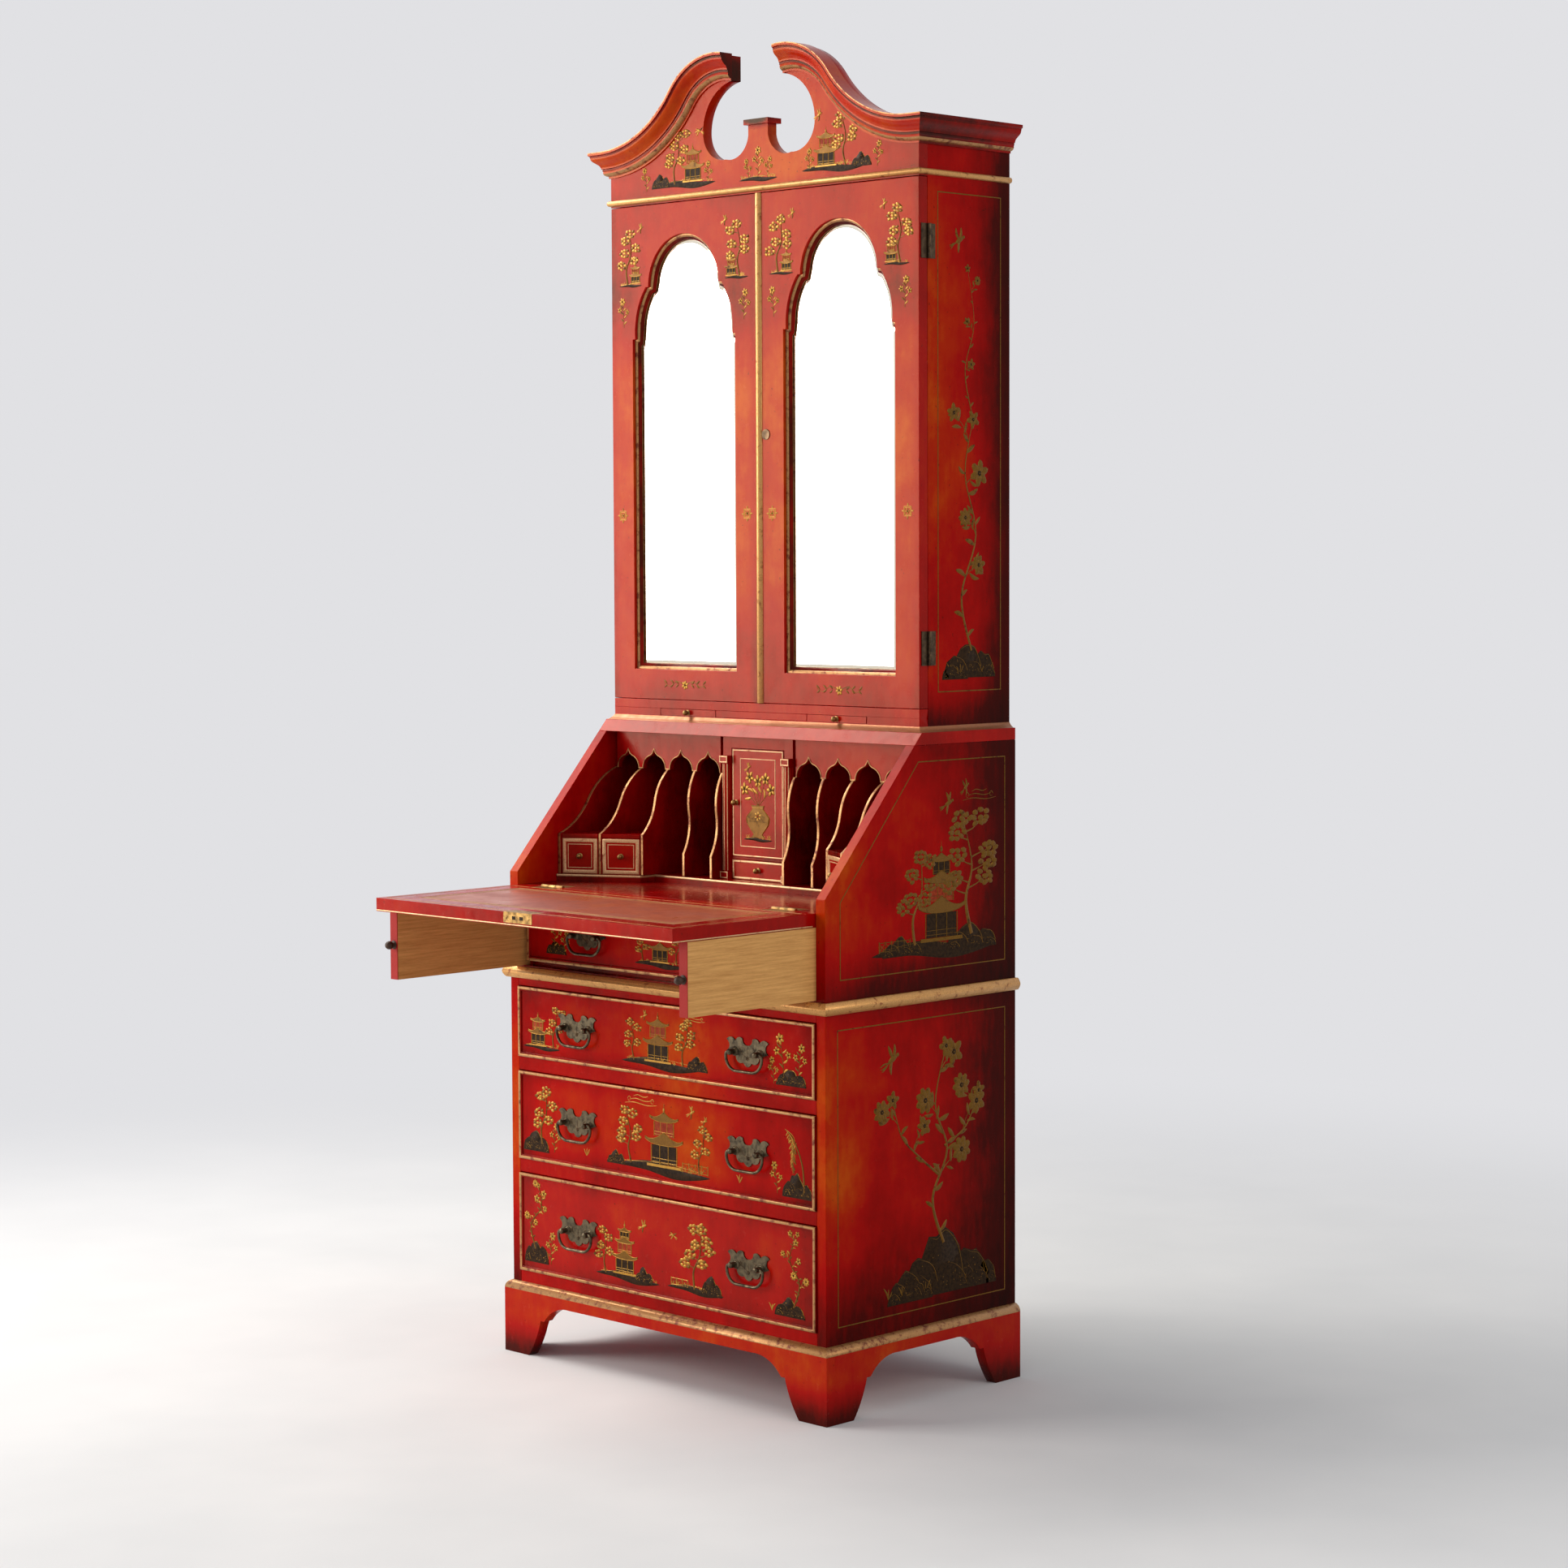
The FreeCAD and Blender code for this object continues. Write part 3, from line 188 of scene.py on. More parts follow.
def gilding(name, code, worn, metal=0.55, bare=0.42, gloss=0.5, low=None):
    """Water gilding rubbed thin: soft warm metal that shows its red-brown ground in worn patches.

    Low is a height in metres and the colour of the leaf that lies below it.
    """
    made, tree, shader, where = material(name)
    patches = add(tree, "TexNoise", {"Vector": where, "Scale": per(11), "Detail": 6.0, "Roughness": 0.68})
    grain = add(tree, "TexNoise", {"Vector": where, "Scale": per(1.6), "Detail": 3.0, "Roughness": 0.55})
    leaf = add(tree, "ValToRGB", [patches], stops=((bare - 0.1, worn), (bare + 0.02, code), (0.85, code)))
    if low:
        leaf = lowered(tree, where, leaf, low)
    dust = add(tree, "ValToRGB", [grain], stops=((0.3, "#8C8070"), (0.65, "#FFFFFF")))
    shade = add(tree, "Mix", {0: 0.45, 6: leaf, 7: dust}, blend_type="MULTIPLY", **MIXED)
    rubbed = add(tree, "MapRange", [patches, 0.3, 0.7, 0.5, 0.3], **EASED)
    laid = add(tree, "Bump", {"Height": grain, "Distance": 0.15 * MM, "Strength": 0.5})
    add(tree, shader, {"Base Color": shade, "Metallic": metal, "Roughness": rubbed,
                       "Specular IOR Level": gloss, "Normal": laid})
    return made


def painted(name, code, shade):
    """Thick matt paint of the raised work: earthy and uneven, lighter on the high places."""
    made, tree, shader, where = material(name)
    daubs = add(tree, "TexNoise", {"Vector": where, "Scale": per(5), "Detail": 5.0, "Roughness": 0.7})
    paint = add(tree, "ValToRGB", [daubs], stops=((0.35, shade), (0.65, code)))
    matt = add(tree, "MapRange", [daubs, 0.3, 0.7, 0.6, 0.42], **EASED)
    thick = add(tree, "Bump", {"Height": daubs, "Distance": 0.2 * MM, "Strength": 0.6})
    add(tree, shader, {"Base Color": paint, "Roughness": matt, "Specular IOR Level": 0.08, "Normal": thick})
    return made


def antique_brass(name, code, patina, low=None):
    """Cast old brass: dull warm grey metal, brown in the hollows and brighter where hands rub it.

    Low is a height in metres and the colour of the brass that lies below it.
    """
    made, tree, shader, where = material(name)
    cloud = add(tree, "TexNoise", {"Vector": where, "Scale": per(8), "Detail": 5.0, "Roughness": 0.65})
    pits = add(tree, "TexNoise", {"Vector": where, "Scale": per(1.2), "Detail": 4.0, "Roughness": 0.55})
    metal = add(tree, "ValToRGB", [cloud], stops=((0.32, patina), (0.62, code)))
    if low:
        metal = lowered(tree, where, metal, low)
    rubbed = add(tree, "MapRange", [cloud, 0.3, 0.7, 0.52, 0.3], **EASED)
    cast = add(tree, "Bump", {"Height": pits, "Distance": 0.1 * MM, "Strength": 0.6})
    add(tree, shader, {"Base Color": metal, "Metallic": 0.85, "Roughness": rubbed, "Normal": cast})
    return made


def wood(name, light, dark, scale, rough=0.55, end=None, board=None):
    """Planed bare wood: long fibres and slow bands along the grain, with open pores.

    It may have a red painted end, in front of a place in metres, or be made up of boards, of a width in
    millimetres.
    """
    made, tree, shader, where = material(name)
    along = add(tree, "Mapping", {"Vector": where, "Scale": scale})
    bands = add(tree, "TexNoise", {"Vector": along, "Scale": per(24), "Detail": 5.0, "Roughness": 0.6})
    fibres = add(tree, "TexNoise", {"Vector": along, "Scale": per(3.2), "Detail": 4.0, "Roughness": 0.7})
    fine = add(tree, "Math", [fibres, 0.4], operation="MULTIPLY")
    figure = add(tree, "Math", [bands, 0.65, fine], operation="MULTIPLY_ADD")
    if board:
        across = add(tree, "Math", [add(tree, "SeparateXYZ", [where], "X"), board * MM], operation="DIVIDE")
        number = add(tree, "Math", [across], operation="FLOOR")
        kind = add(tree, "TexWhiteNoise", {"W": number}, noise_dimensions="1D")
        figure = add(tree, "Math", [kind, 0.13, figure], operation="MULTIPLY_ADD")
        joint = add(tree, "Math", [across, 0.5], operation="PINGPONG")
        gap = add(tree, "MapRange", [joint, 0.0, 0.02, 0.0, 1.0], **EASED)
        figure = add(tree, "Math", [figure, gap], operation="MULTIPLY")
    grain = add(tree, "ValToRGB", [figure], stops=((0.35, dark), (0.68, light)))
    if end is not None:
        depth = add(tree, "SeparateXYZ", [where], "Y")
        front = add(tree, "MapRange", [depth, end + 0.0014, end + 0.001], **EASED)
        grain = add(tree, "Mix", {0: front, 6: grain, 7: linear("#A51208")}, **MIXED)
    planed = add(tree, "MapRange", [fibres, 0.3, 0.7, rough, rough + 0.15], **EASED)
    pores = add(tree, "Bump", {"Height": fibres, "Distance": 0.3 * MM, "Strength": 0.6})
    add(tree, shader, {"Base Color": grain, "Roughness": planed, "Specular IOR Level": 0.3, "Normal": pores})
    return made


def silvered_glass(name, light, bloomed):
    """Old mirror plate: clear silvering with a faint bloom."""
    made, tree, shader, where = material(name)
    bloom = add(tree, "TexNoise", {"Vector": where, "Scale": per(120), "Detail": 4.0, "Roughness": 0.55})
    silver = add(tree, "ValToRGB", [bloom], stops=((0.3, bloomed), (0.7, light)))
    clear = add(tree, "MapRange", [bloom, 0.3, 0.7, 0.015, 0.05], **EASED)
    add(tree, shader, {"Base Color": silver, "Metallic": 1.0, "Roughness": clear})
    return made


def writing_leather(name):
    """Brown-red desk leather: pebbled grain, drawn coarse enough to show, with polished worn patches."""
    made, tree, shader, where = material(name)
    pebbles = add(tree, "TexVoronoi", {"Vector": where, "Scale": per(1.5), "Smoothness": 0.6},
                  feature="SMOOTH_F1")
    worn = add(tree, "TexNoise", {"Vector": where, "Scale": per(70), "Detail": 6.0, "Roughness": 0.62})
    hide = add(tree, "ValToRGB", [worn], stops=((0.3, "#8C3A22"), (0.55, "#AA502F"), (0.8, "#B8623A")))
    over = list(bpy.context.scene.cabinet_colours.leather) + [1.0]
    tint = add(tree, "Mix", {0: 1.0, 6: hide, 7: over}, blend_type="MULTIPLY", **MIXED)
    polish = add(tree, "MapRange", [worn, 0.3, 0.7, 0.42, 0.26], **EASED)
    grain = add(tree, "Bump", {"Height": pebbles, "Distance": 0.12 * MM, "Strength": 0.35})
    add(tree, shader, {"Base Color": tint, "Roughness": polish, "Normal": grain})
    return made


def studio_floor(name, code, far):
    """Matt studio paper: a plain pale ground that keeps the shadow and fades into the backdrop."""
    made, tree, shader, where = material(name)
    tooth = add(tree, "TexNoise", {"Vector": where, "Scale": per(400), "Detail": 3.0, "Roughness": 0.55})
    paper = add(tree, "ValToRGB", [tooth], stops=((0.2, code), (0.8, "#E9EAEB")))
    add(tree, shader, {"Base Color": paper, "Roughness": 0.9, "Specular IOR Level": 0.1})
    away = add(tree, "VectorMath", [where], "Value", operation="LENGTH")
    faded = add(tree, "MapRange", [away, 0.7, 3.2], **EASED)
    shown = add(tree, "Math", [seen_rays(tree), faded], operation="MULTIPLY")
    backdrop = add(tree, "Emission", {"Color": linear(far)})
    mixed = add(tree, "MixShader", [shown, shader.outputs[0], backdrop])
    add(tree, tree.nodes["Material Output"], {"Surface": mixed})
    return made


def seen_rays(tree):
    """One for rays that show a backdrop: straight to the camera, in a reflection or through glass."""
    rays = add(tree, "LightPath").node.outputs
    bright = add(tree, "Math", [rays["Is Camera Ray"], rays["Is Glossy Ray"]], operation="MAXIMUM")
    return add(tree, "Math", [bright, rays["Is Transmission Ray"]], operation="MAXIMUM")


# Shapes

class Plane:
    """A flat face to draw on in millimetres: u across, v up, h out of it."""

    def __init__(self, origin, across, out, up=(0, 0, 1)):
        x, y, z = origin
        self.origin = Vector((x * MM, FRONT + y * MM, z * MM))
        self.across, self.up, self.out = (Vector(axis).normalized() for axis in (across, up, out))

    def at(self, u, v, h):
        """The place in the frame of a point on the face."""
        return self.origin + (self.across * u + self.up * v + self.out * h) * MM


def front_face(y):
    """The face of a front board, with u and v as plain x and z."""
    return Plane((0, y, 0), (1, 0, 0), (0, -1, 0))


def side_face(side, x):
    """The outer face of a side board, with u counted back from the case's front."""
    return Plane((side * x, 0, 0), (0, 1, 0), (side, 0, 0))


def piece(name, verts, faces, finish, body, slot, tints=None, smooth=35.0):
    """Makes one closed mesh of a visual piece, gives it its materials and lets it ride on a body."""
    mesh = bpy.data.meshes.new(name)
    mesh.from_pydata([tuple(v) for v in verts], [], faces)
    for made in finish:
        mesh.materials.append(made)
    if tints:
        mesh.polygons.foreach_set("material_index", tints)
    work = bmesh.new()
    work.from_mesh(mesh)
    bmesh.ops.recalc_face_normals(work, faces=work.faces)
    work.to_mesh(mesh)
    work.free()
    mesh.shade_smooth()
    mesh.set_sharp_from_angle(angle=math.radians(smooth))
    obj = bpy.data.objects.new(name, mesh)
    bpy.context.scene.collection.objects.link(obj)
    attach(obj, body)
    return obj


def mitres(path, closed):
    """The inward mitre vector at each point of a 2-D path, for a path that runs anticlockwise."""
    count = len(path)
    found = []
    for i, (u, v) in enumerate(path):
        before = path[i - 1] if closed or i else None
        after = path[(i + 1) % count] if closed or i + 1 < count else None
        normals = []
        for a, b in ((before, (u, v)), ((u, v), after)):
            if a and b:
                du, dv = b[0] - a[0], b[1] - a[1]
                run = math.hypot(du, dv) or 1.0
                normals.append((-dv / run, du / run))
        if len(normals) == 1:
            normals *= 2
        (au, av), (bu, bv) = normals
        share = max(1 + au * bu + av * bv, 0.4)
        if au * bv < av * bu:  # a cusp that points inwards keeps its width
            share = max(share, math.hypot(au + bu, av + bv))
        found.append(((au + bu) / share, (av + bv) / share))
    return found


def skin(rows, size, closed=False):
    """The faces of a tube through rows of points, with a face on its first and last row unless it closes."""
    faces = []
    for r in range(rows if closed else rows - 1):
        here, there = r * size, (r + 1) % rows * size
        faces += [(here + i, here + (i + 1) % size, there + (i + 1) % size, there + i) for i in range(size)]
    if not closed:
        faces += [tuple(range(size)), tuple(range((rows - 1) * size, rows * size))]
    return faces


def sweep(plane, path, profile, closed=True):
    """Sweeps a closed profile of (inward, out) points along a path on a plane, mitred at its corners."""
    verts = [plane.at(u + a * mu, v + a * mv, h)
             for (u, v), (mu, mv) in zip(path, mitres(path, closed)) for a, h in profile]
    return verts, skin(len(path), len(profile), closed)


def merged(shapes):
    """Puts several (verts, faces) shapes in one."""
    verts, faces = [], []
    for some_verts, some_faces in shapes:
        start = len(verts)
        verts += some_verts
        faces += [tuple(start + i for i in face) for face in some_faces]
    return verts, faces


def rectangle(u0, v0, u1, v1):
    """The corners of a rectangle, anticlockwise."""
    return [(u0, v0), (u1, v0), (u1, v1), (u0, v1)]


def half_round(width, rise, sunk=0.4, steps=6):
    """The section of a half-round bead."""
    turns = [math.pi * i / steps for i in range(steps + 1)]
    bow = [(width * (0.5 + 0.5 * math.cos(t)), rise * math.sin(t)) for t in turns]
    return [(0.0, -sunk), (width, -sunk)] + bow


def arc(start, end, share, steps=10):
    """Points on an arc between two points that bows to the left by a share of the chord."""
    (u0, v0), (u1, v1) = start, end
    points = []
    for i in range(steps + 1):
        t = i / steps
        lift = 4 * share * t * (1 - t)
        points.append((u0 + (u1 - u0) * t - (v1 - v0) * lift, v0 + (v1 - v0) * t + (u1 - u0) * lift))
    return points


def smooth_line(points, steps=6):
    """A flowing line through a few points."""
    line = []
    ends = [points[0]] + list(points) + [points[-1]]
    for a, b, c, d in zip(ends, ends[1:], ends[2:], ends[3:]):
        for i in range(steps):
            t = i / steps
            line.append(tuple(0.5 * (2 * q + (r - p) * t + (2 * p - 5 * q + 4 * r - s) * t * t
                                     + (3 * q - p - 3 * r + s) * t ** 3) for p, q, r, s in zip(a, b, c, d)))
    return line + [tuple(points[-1])]


def polar(u, v, far, turn):
    """The point at a distance from another, in a direction."""
    return u + far * math.cos(turn), v + far * math.sin(turn)


def spread(u, v, size, shares):
    """Points about a place, each by its shares of a size across and up."""
    return [(u + a * size, v + b * size) for a, b in shares]


def turned(plane, u, v, profile, sides=20):
    """Turns a closed-ended profile of (radius, height) points about the face's normal."""
    turns = [2 * math.pi * i / sides for i in range(sides)]
    verts = [plane.at(*polar(u, v, radius, turn), h) for radius, h in profile for turn in turns]
    return verts, skin(len(profile), sides)


class Relief:
    """Raised gilt work drawn in millimetres, kept as one mesh of closed strokes, domes and plates."""

    def __init__(self, seed, motifs=()):
        self.verts, self.faces, self.tints = [], [], []
        self.rng = random.Random(seed)
        self.draw(motifs)

    def keep(self, verts, faces, tint):
        """Adds one closed shape."""
        start = len(self.verts)
        self.verts += verts
        self.faces += [tuple(start + i for i in face) for face in faces]
        self.tints += [tint] * len(faces)

    def stroke(self, points, thick, thin, tint=GOLD, rise=0.7, swell=False):
        """A brush stroke through points, from one width to another, or swelling in the middle like a leaf."""
        line = smooth_line(points) if len(points) > 2 else list(points)
        verts, count = [], len(line)
        for i, ((u, v), (mu, mv)) in enumerate(zip(line, mitres(line, False))):
            t = i / (count - 1)
            if swell:
                half = (thin + (thick - thin) * math.sin(math.pi * t)) / 2
            else:
                half = (thick + (thin - thick) * t) / 2
            top = rise * min(1.0, half)
            section = ((-1, -SUNK), (-0.72, 0.62 * top), (0, top), (0.72, 0.62 * top), (1, -SUNK))
            verts += [(u + mu * a * half, v + mv * a * half, h) for a, h in section]
        self.keep(verts, skin(count, len(verts) // count), tint)

    def dome(self, u, v, wide, tall, turn, tint, rise, rough=0.0, sides=10):
        """A low dome, round or oval, its rim made uneven by `rough`."""
        rim = []
        for i in range(sides):
            t = 2 * math.pi * i / sides
            far = 1 + self.rng.uniform(-rough, rough)
            a, b = wide * far * math.cos(t), tall * far * math.sin(t)
            rim.append((a * math.cos(turn) - b * math.sin(turn), a * math.sin(turn) + b * math.cos(turn)))
        rings = ((1.0, -SUNK), (0.8, 0.62 * rise), (0.42, 0.94 * rise))
        verts = [(u + a * share, v + b * share, h) for share, h in rings for a, b in rim] + [(u, v, rise)]
        faces = skin(len(rings), sides)[:-1]  # a point closes the last ring
        faces += [(2 * sides + i, 2 * sides + (i + 1) % sides, 3 * sides) for i in range(sides)]
        self.keep(verts, faces, tint)

    def plate(self, outline, tint, rise, edge=0.35):
        """A raised flat shape with a softened edge, its outline anticlockwise."""
        corners = zip(outline, mitres(outline, True))
        verts = [(u, v, -SUNK) for u, v in outline]
        verts += [(u + mu * edge, v + mv * edge, rise) for (u, v), (mu, mv) in corners]
        self.keep(verts, skin(2, len(outline)), tint)

    def draw(self, motifs):
        """Draws motifs in order, each given by its name and its numbers."""
        for motif, *numbers in motifs:
            getattr(self, motif)(*numbers)

    def lay(self, name, plane, body, leaf="raised gilding", slot="gilt_wood"):
        """Makes the drawn work into a piece on a face, with one gold leaf or another."""
        verts = [plane.at(*v) for v in self.verts]
        kinds = (leaf, "raised bronze powder", "burnt umber paint", "rose lacquer")
        finish = [shared(kind) for kind in kinds]
        return piece(name, verts, self.faces, finish, body, slot, self.tints, 50.0)

    # Motifs

    def leaf(self, u, v, long, turn, tint=GOLD, fat=0.32):
        """A pointed leaf that grows from a point."""
        bend = self.rng.uniform(-0.12, 0.12) * long
        ahead, aside = math.cos(turn), math.sin(turn)
        mid = (u + 0.5 * long * ahead - bend * aside, v + 0.5 * long * aside + bend * ahead)
        self.stroke([(u, v), mid, polar(u, v, long, turn)], long * fat, 0.4, tint, 0.7, True)

    def flower(self, u, v, size, petals, tint=GOLD, heart=EARTH):
        """An open flower of round petals about a dark heart, with inner petals where it is large."""
        first = self.rng.uniform(0, 1)
        for i in range(petals):
            t = first + 2 * math.pi * i / petals
            self.dome(*polar(u, v, 0.56 * size, t), 0.46 * size, 0.3 * size, t, tint, 0.9, 0.08)
        if size > 9:
            for i in range(petals):
                t = first + 2 * math.pi * (i + 0.5) / petals
                self.dome(*polar(u, v, 0.36 * size, t), 0.28 * size, 0.15 * size, t, BRONZE, 1.15, 0.08, 8)
        self.dome(u, v, 0.24 * size, 0.24 * size, 0, heart, 1.3)
        self.dome(u, v, 0.11 * size, 0.11 * size, 0, tint, 1.5, 0, 6)

    def branch(self, points, thick, twigs, bloom):
        """A branch with twigs that carry leaves and blossom."""
        self.stroke(points, thick, thick * 0.25, BRONZE, 0.9)
        line = smooth_line(points)
        self.flower(*line[-1], 0.8 * bloom, 5)
        for i in range(3 * twigs):
            at = line[int((0.12 + 0.86 * i / (3 * twigs)) * (len(line) - 1))]
            long = bloom * self.rng.uniform(0.8, 1.4)
            turn = math.pi / 2 + (1 if i % 2 else -1) * self.rng.uniform(0.6, 1.3)
            self.leaf(*at, long, turn, (BRONZE, GOLD, BRONZE)[i % 3], 0.36)
        for i in range(twigs):
            at = line[int((0.25 + 0.75 * (i + 0.5) / twigs) * (len(line) - 1))]
            side = 1 if i % 2 else -1
            turn = math.pi / 2 + side * self.rng.uniform(0.5, 1.15)
            reach = bloom * self.rng.uniform(1.8, 3.0)
            tip = polar(*at, reach, turn)
            mid = ((at[0] + tip[0]) / 2 + side * reach * 0.12, (at[1] + tip[1]) / 2)
            self.stroke([at, mid, tip], thick * 0.4, 0.6, BRONZE, 0.7)
            for k in range(4):
                share = 0.3 + 0.2 * k
                root = (at[0] + (tip[0] - at[0]) * share, at[1] + (tip[1] - at[1]) * share)
                self.leaf(*root, bloom * self.rng.uniform(0.8, 1.3), turn + (0.9 if k % 2 else -0.9),
                          BRONZE if k % 3 else GOLD)
            self.flower(*tip, bloom * self.rng.uniform(0.8, 1.15), self.rng.choice((5, 6, 8)))

    def rock(self, u, v, wide, tall):
        """A craggy mound of dark earth, its humps edged with gold and stippled."""
        humps = ((-0.04, 0.6, 1.0), (-0.27, 0.46, 0.68), (0.27, 0.48, 0.72), (0.06, 0.42, 0.5),
                 (-0.36, 0.28, 0.36), (0.38, 0.26, 0.32))
        for i, (place, span, lift) in enumerate(humps):
            cu, half = u + place * wide, 0.5 * span * wide * self.rng.uniform(0.9, 1.1)
            high, top = tall * lift * self.rng.uniform(0.88, 1.08), 0.35 + 0.1 * i
            edge = [(cu + half * math.cos(t), v + high * math.sin(t) * self.rng.uniform(0.9, 1.08))
                    for t in (math.pi * k / 9 for k in range(10))]
            self.plate(edge, EARTH, top, min(0.6, 0.04 * wide))
            inner = [(cu + (x - cu) * 0.95, v + (y - v) * 0.95) for x, y in edge[1:-1]]
            self.stroke(inner, min(2.0, 0.4 + 0.016 * wide), 0.6, (GOLD, BRONZE)[i % 2], top + 0.45)
            for k in range(7):
                t, far = self.rng.uniform(0.5, 2.6), self.rng.uniform(0.3, 0.8)
                size = self.rng.uniform(0.5, 0.9) + 0.004 * wide
                spot = (cu + far * half * math.cos(t), v + far * high * math.sin(t))
                self.dome(*spot, size, 0.7 * size, 0, (GOLD, BRONZE)[k % 2], top + 0.35, 0, 6)

    def ground(self, u, v, wide):
        """A low bank of earth with grass."""
        bank = spread(u, v, wide, ((-1 / 2, 0), (-1 / 6, 0.02), (1 / 6, -0.015), (1 / 2, 0)))
        self.stroke(bank, max(3.0, wide * 0.1), 0.8, EARTH, 0.6, True)
        crest = spread(u, v, wide, ((-0.42, 0.03), (0, 0.055), (0.42, 0.03)))
        self.stroke(crest, 1.2, 0.6, GOLD, 0.9)
        for _ in range(max(4, int(wide / 9))):
            self.grass(u + self.rng.uniform(-0.45, 0.45) * wide, v + self.rng.uniform(0.0, 0.03) * wide,
                       self.rng.uniform(4, 8))

    def grass(self, u, v, tall):
        """A tuft of three blades."""
        for lean in (-0.5, 0.05, 0.55):
            self.leaf(u, v, tall * self.rng.uniform(0.8, 1.1), math.pi / 2 - lean, GOLD, 0.17)

    def roof(self, u, v, wide):
        """A hipped roof with turned-up eaves, ribs and a ridge."""
        low, high = [], []
        for i in range(13):
            s = -1 + i / 6
            x, curl = u + 0.62 * wide * s, abs(s) ** 3
            low.append((x, v + 0.11 * wide * curl))
            high.append((x, v + 0.035 * wide + 0.26 * wide * (1 - abs(s)) ** 1.5 + 0.13 * wide * curl))
        self.plate(low + high[::-1], BRONZE, 0.7, 0.3)
        self.stroke(low, 1.7, 1.7, GOLD, 1.1)
        self.stroke(high, 1.3, 1.3, GOLD, 1.1)
        for s in (-0.5, -0.25, 0.0, 0.25, 0.5):
            rib = spread(u, v, wide, ((0.248 * s, 0.24), (0.744 * s, 0.03)))
            self.stroke(rib, 0.8, 0.8, GOLD, 1.0)

    def pavilion(self, u, v, wide, floors):
        """A garden pavilion of one or more floors with posts, rails and curved roofs."""
        self.plate(rectangle(u - 0.56 * wide, v, u + 0.56 * wide, v + 0.07 * wide), GOLD, 0.8)
        level = v + 0.07 * wide
        for floor in range(floors):
            span = wide * (1 - 0.24 * floor)
            rise = 0.44 * span
            wall = rectangle(u - 0.4 * span, level, u + 0.4 * span, level + rise)
            self.plate(wall, (EARTH, ROSE)[floor % 2], 0.3)
            for s in (-0.42, -0.14, 0.14, 0.42):
                self.stroke([(u + s * span, level), (u + s * span, level + rise)], 1.6, 1.6, GOLD, 1.0)
            for share in (0.12, 0.3):
                rail = level + share * rise
                self.stroke([(u - 0.42 * span, rail), (u + 0.42 * span, rail)], 1.0, 1.0, GOLD, 0.9)
            self.roof(u, level + rise, span)
            level += rise + 0.2 * span
        self.dome(u, level + 0.12 * wide, 0.035 * wide, 0.06 * wide, 0, GOLD, 1.1)
        self.stroke([(u, level + 0.1 * wide), (u, level + 0.27 * wide)], 1.4, 0.5, GOLD, 1.0)

    def tree(self, u, v, tall, lean, clumps):
        """A tree with a bent trunk and tufts of leaves."""
        trunk = [(u, v), (u - 0.05 * tall + lean * 0.2, v + 0.3 * tall),
                 (u + 0.06 * tall + lean * 0.5, v + 0.6 * tall), (u + lean, v + tall)]
        self.stroke(trunk, max(2.0, 0.055 * tall), 0.8, BRONZE, 0.9)
        line = smooth_line(trunk)
        for i in range(clumps):
            at = line[int((0.4 + 0.6 * i / max(1, clumps - 1)) * (len(line) - 1))]
            side = 1 if i % 2 else -1
            reach = tall * self.rng.uniform(0.12, 0.24) * (1 if i < clumps - 1 else 0.05)
            tip = (at[0] + side * reach, at[1] + reach * self.rng.uniform(0.2, 0.6))
            bough = [at, ((at[0] + tip[0]) / 2, at[1] + 0.15 * reach), tip]
            self.stroke(bough, max(1.2, 0.02 * tall), 0.7, BRONZE, 0.8)
            size = tall * 0.035 + 1.2
            for k in range(9):
                t = 2 * math.pi * k / 8
                far = 0 if k == 8 else size * self.rng.uniform(1.0, 1.7)
                self.dome(tip[0] + 1.5 * far * math.cos(t), tip[1] + far * math.sin(t), size, size * 0.62,
                          self.rng.uniform(-0.4, 0.4), (GOLD, BRONZE, GOLD)[k % 3], 0.9, 0.15, 8)

    def willow(self, u, v, tall, lean):
        """A leaning tree whose long boughs hang down."""
        trunk = [(u + a * lean, v + b * tall) for a, b in ((0, 0), (0.1, 0.45), (0.55, 0.85), (1, 1))]
        self.stroke(trunk, max(2.2, tall * 0.045), 0.9, BRONZE, 0.9)
        for i in range(7):
            share = 0.4 + 0.6 * i / 6
            root = (u + lean * share, v + tall * (0.66 + 0.34 * share))
            drop = tall * self.rng.uniform(0.35, 0.6)
            out = (i - 2) * 0.05 * tall
            bough = [root, (root[0] + out, root[1] - 0.3 * drop), (root[0] + 1.25 * out, root[1] - drop)]
            self.stroke(bough, 1.1, 0.5, GOLD, 0.8)
            for k in range(6):
                spot = (root[0] + out * (0.3 + 0.16 * k), root[1] - drop * (0.1 + 0.15 * k))
                hang = -math.pi / 2 + (0.6 if k % 2 else -0.6)
                self.leaf(*spot, 0.06 * tall + 2.0, hang, (GOLD, BRONZE)[k % 2], 0.3)

    def bird(self, u, v, size, turn):
        """A small bird with spread wings."""
        self.dome(u, v, 0.5 * size, 0.2 * size, turn, GOLD, 1.0)
        self.dome(*polar(u, v, 0.5 * size, turn), 0.16 * size, 0.14 * size, turn, GOLD, 1.1)
        for side in (0.9, 1.5, -2.2):
            self.leaf(u, v, 0.95 * size, turn + side, BRONZE if side < 0 else GOLD, 0.3)
        for fan in (-0.22, 0.0, 0.22):
            self.leaf(*polar(u, v, -0.4 * size, turn), 0.8 * size, turn + math.pi + fan, GOLD, 0.16)

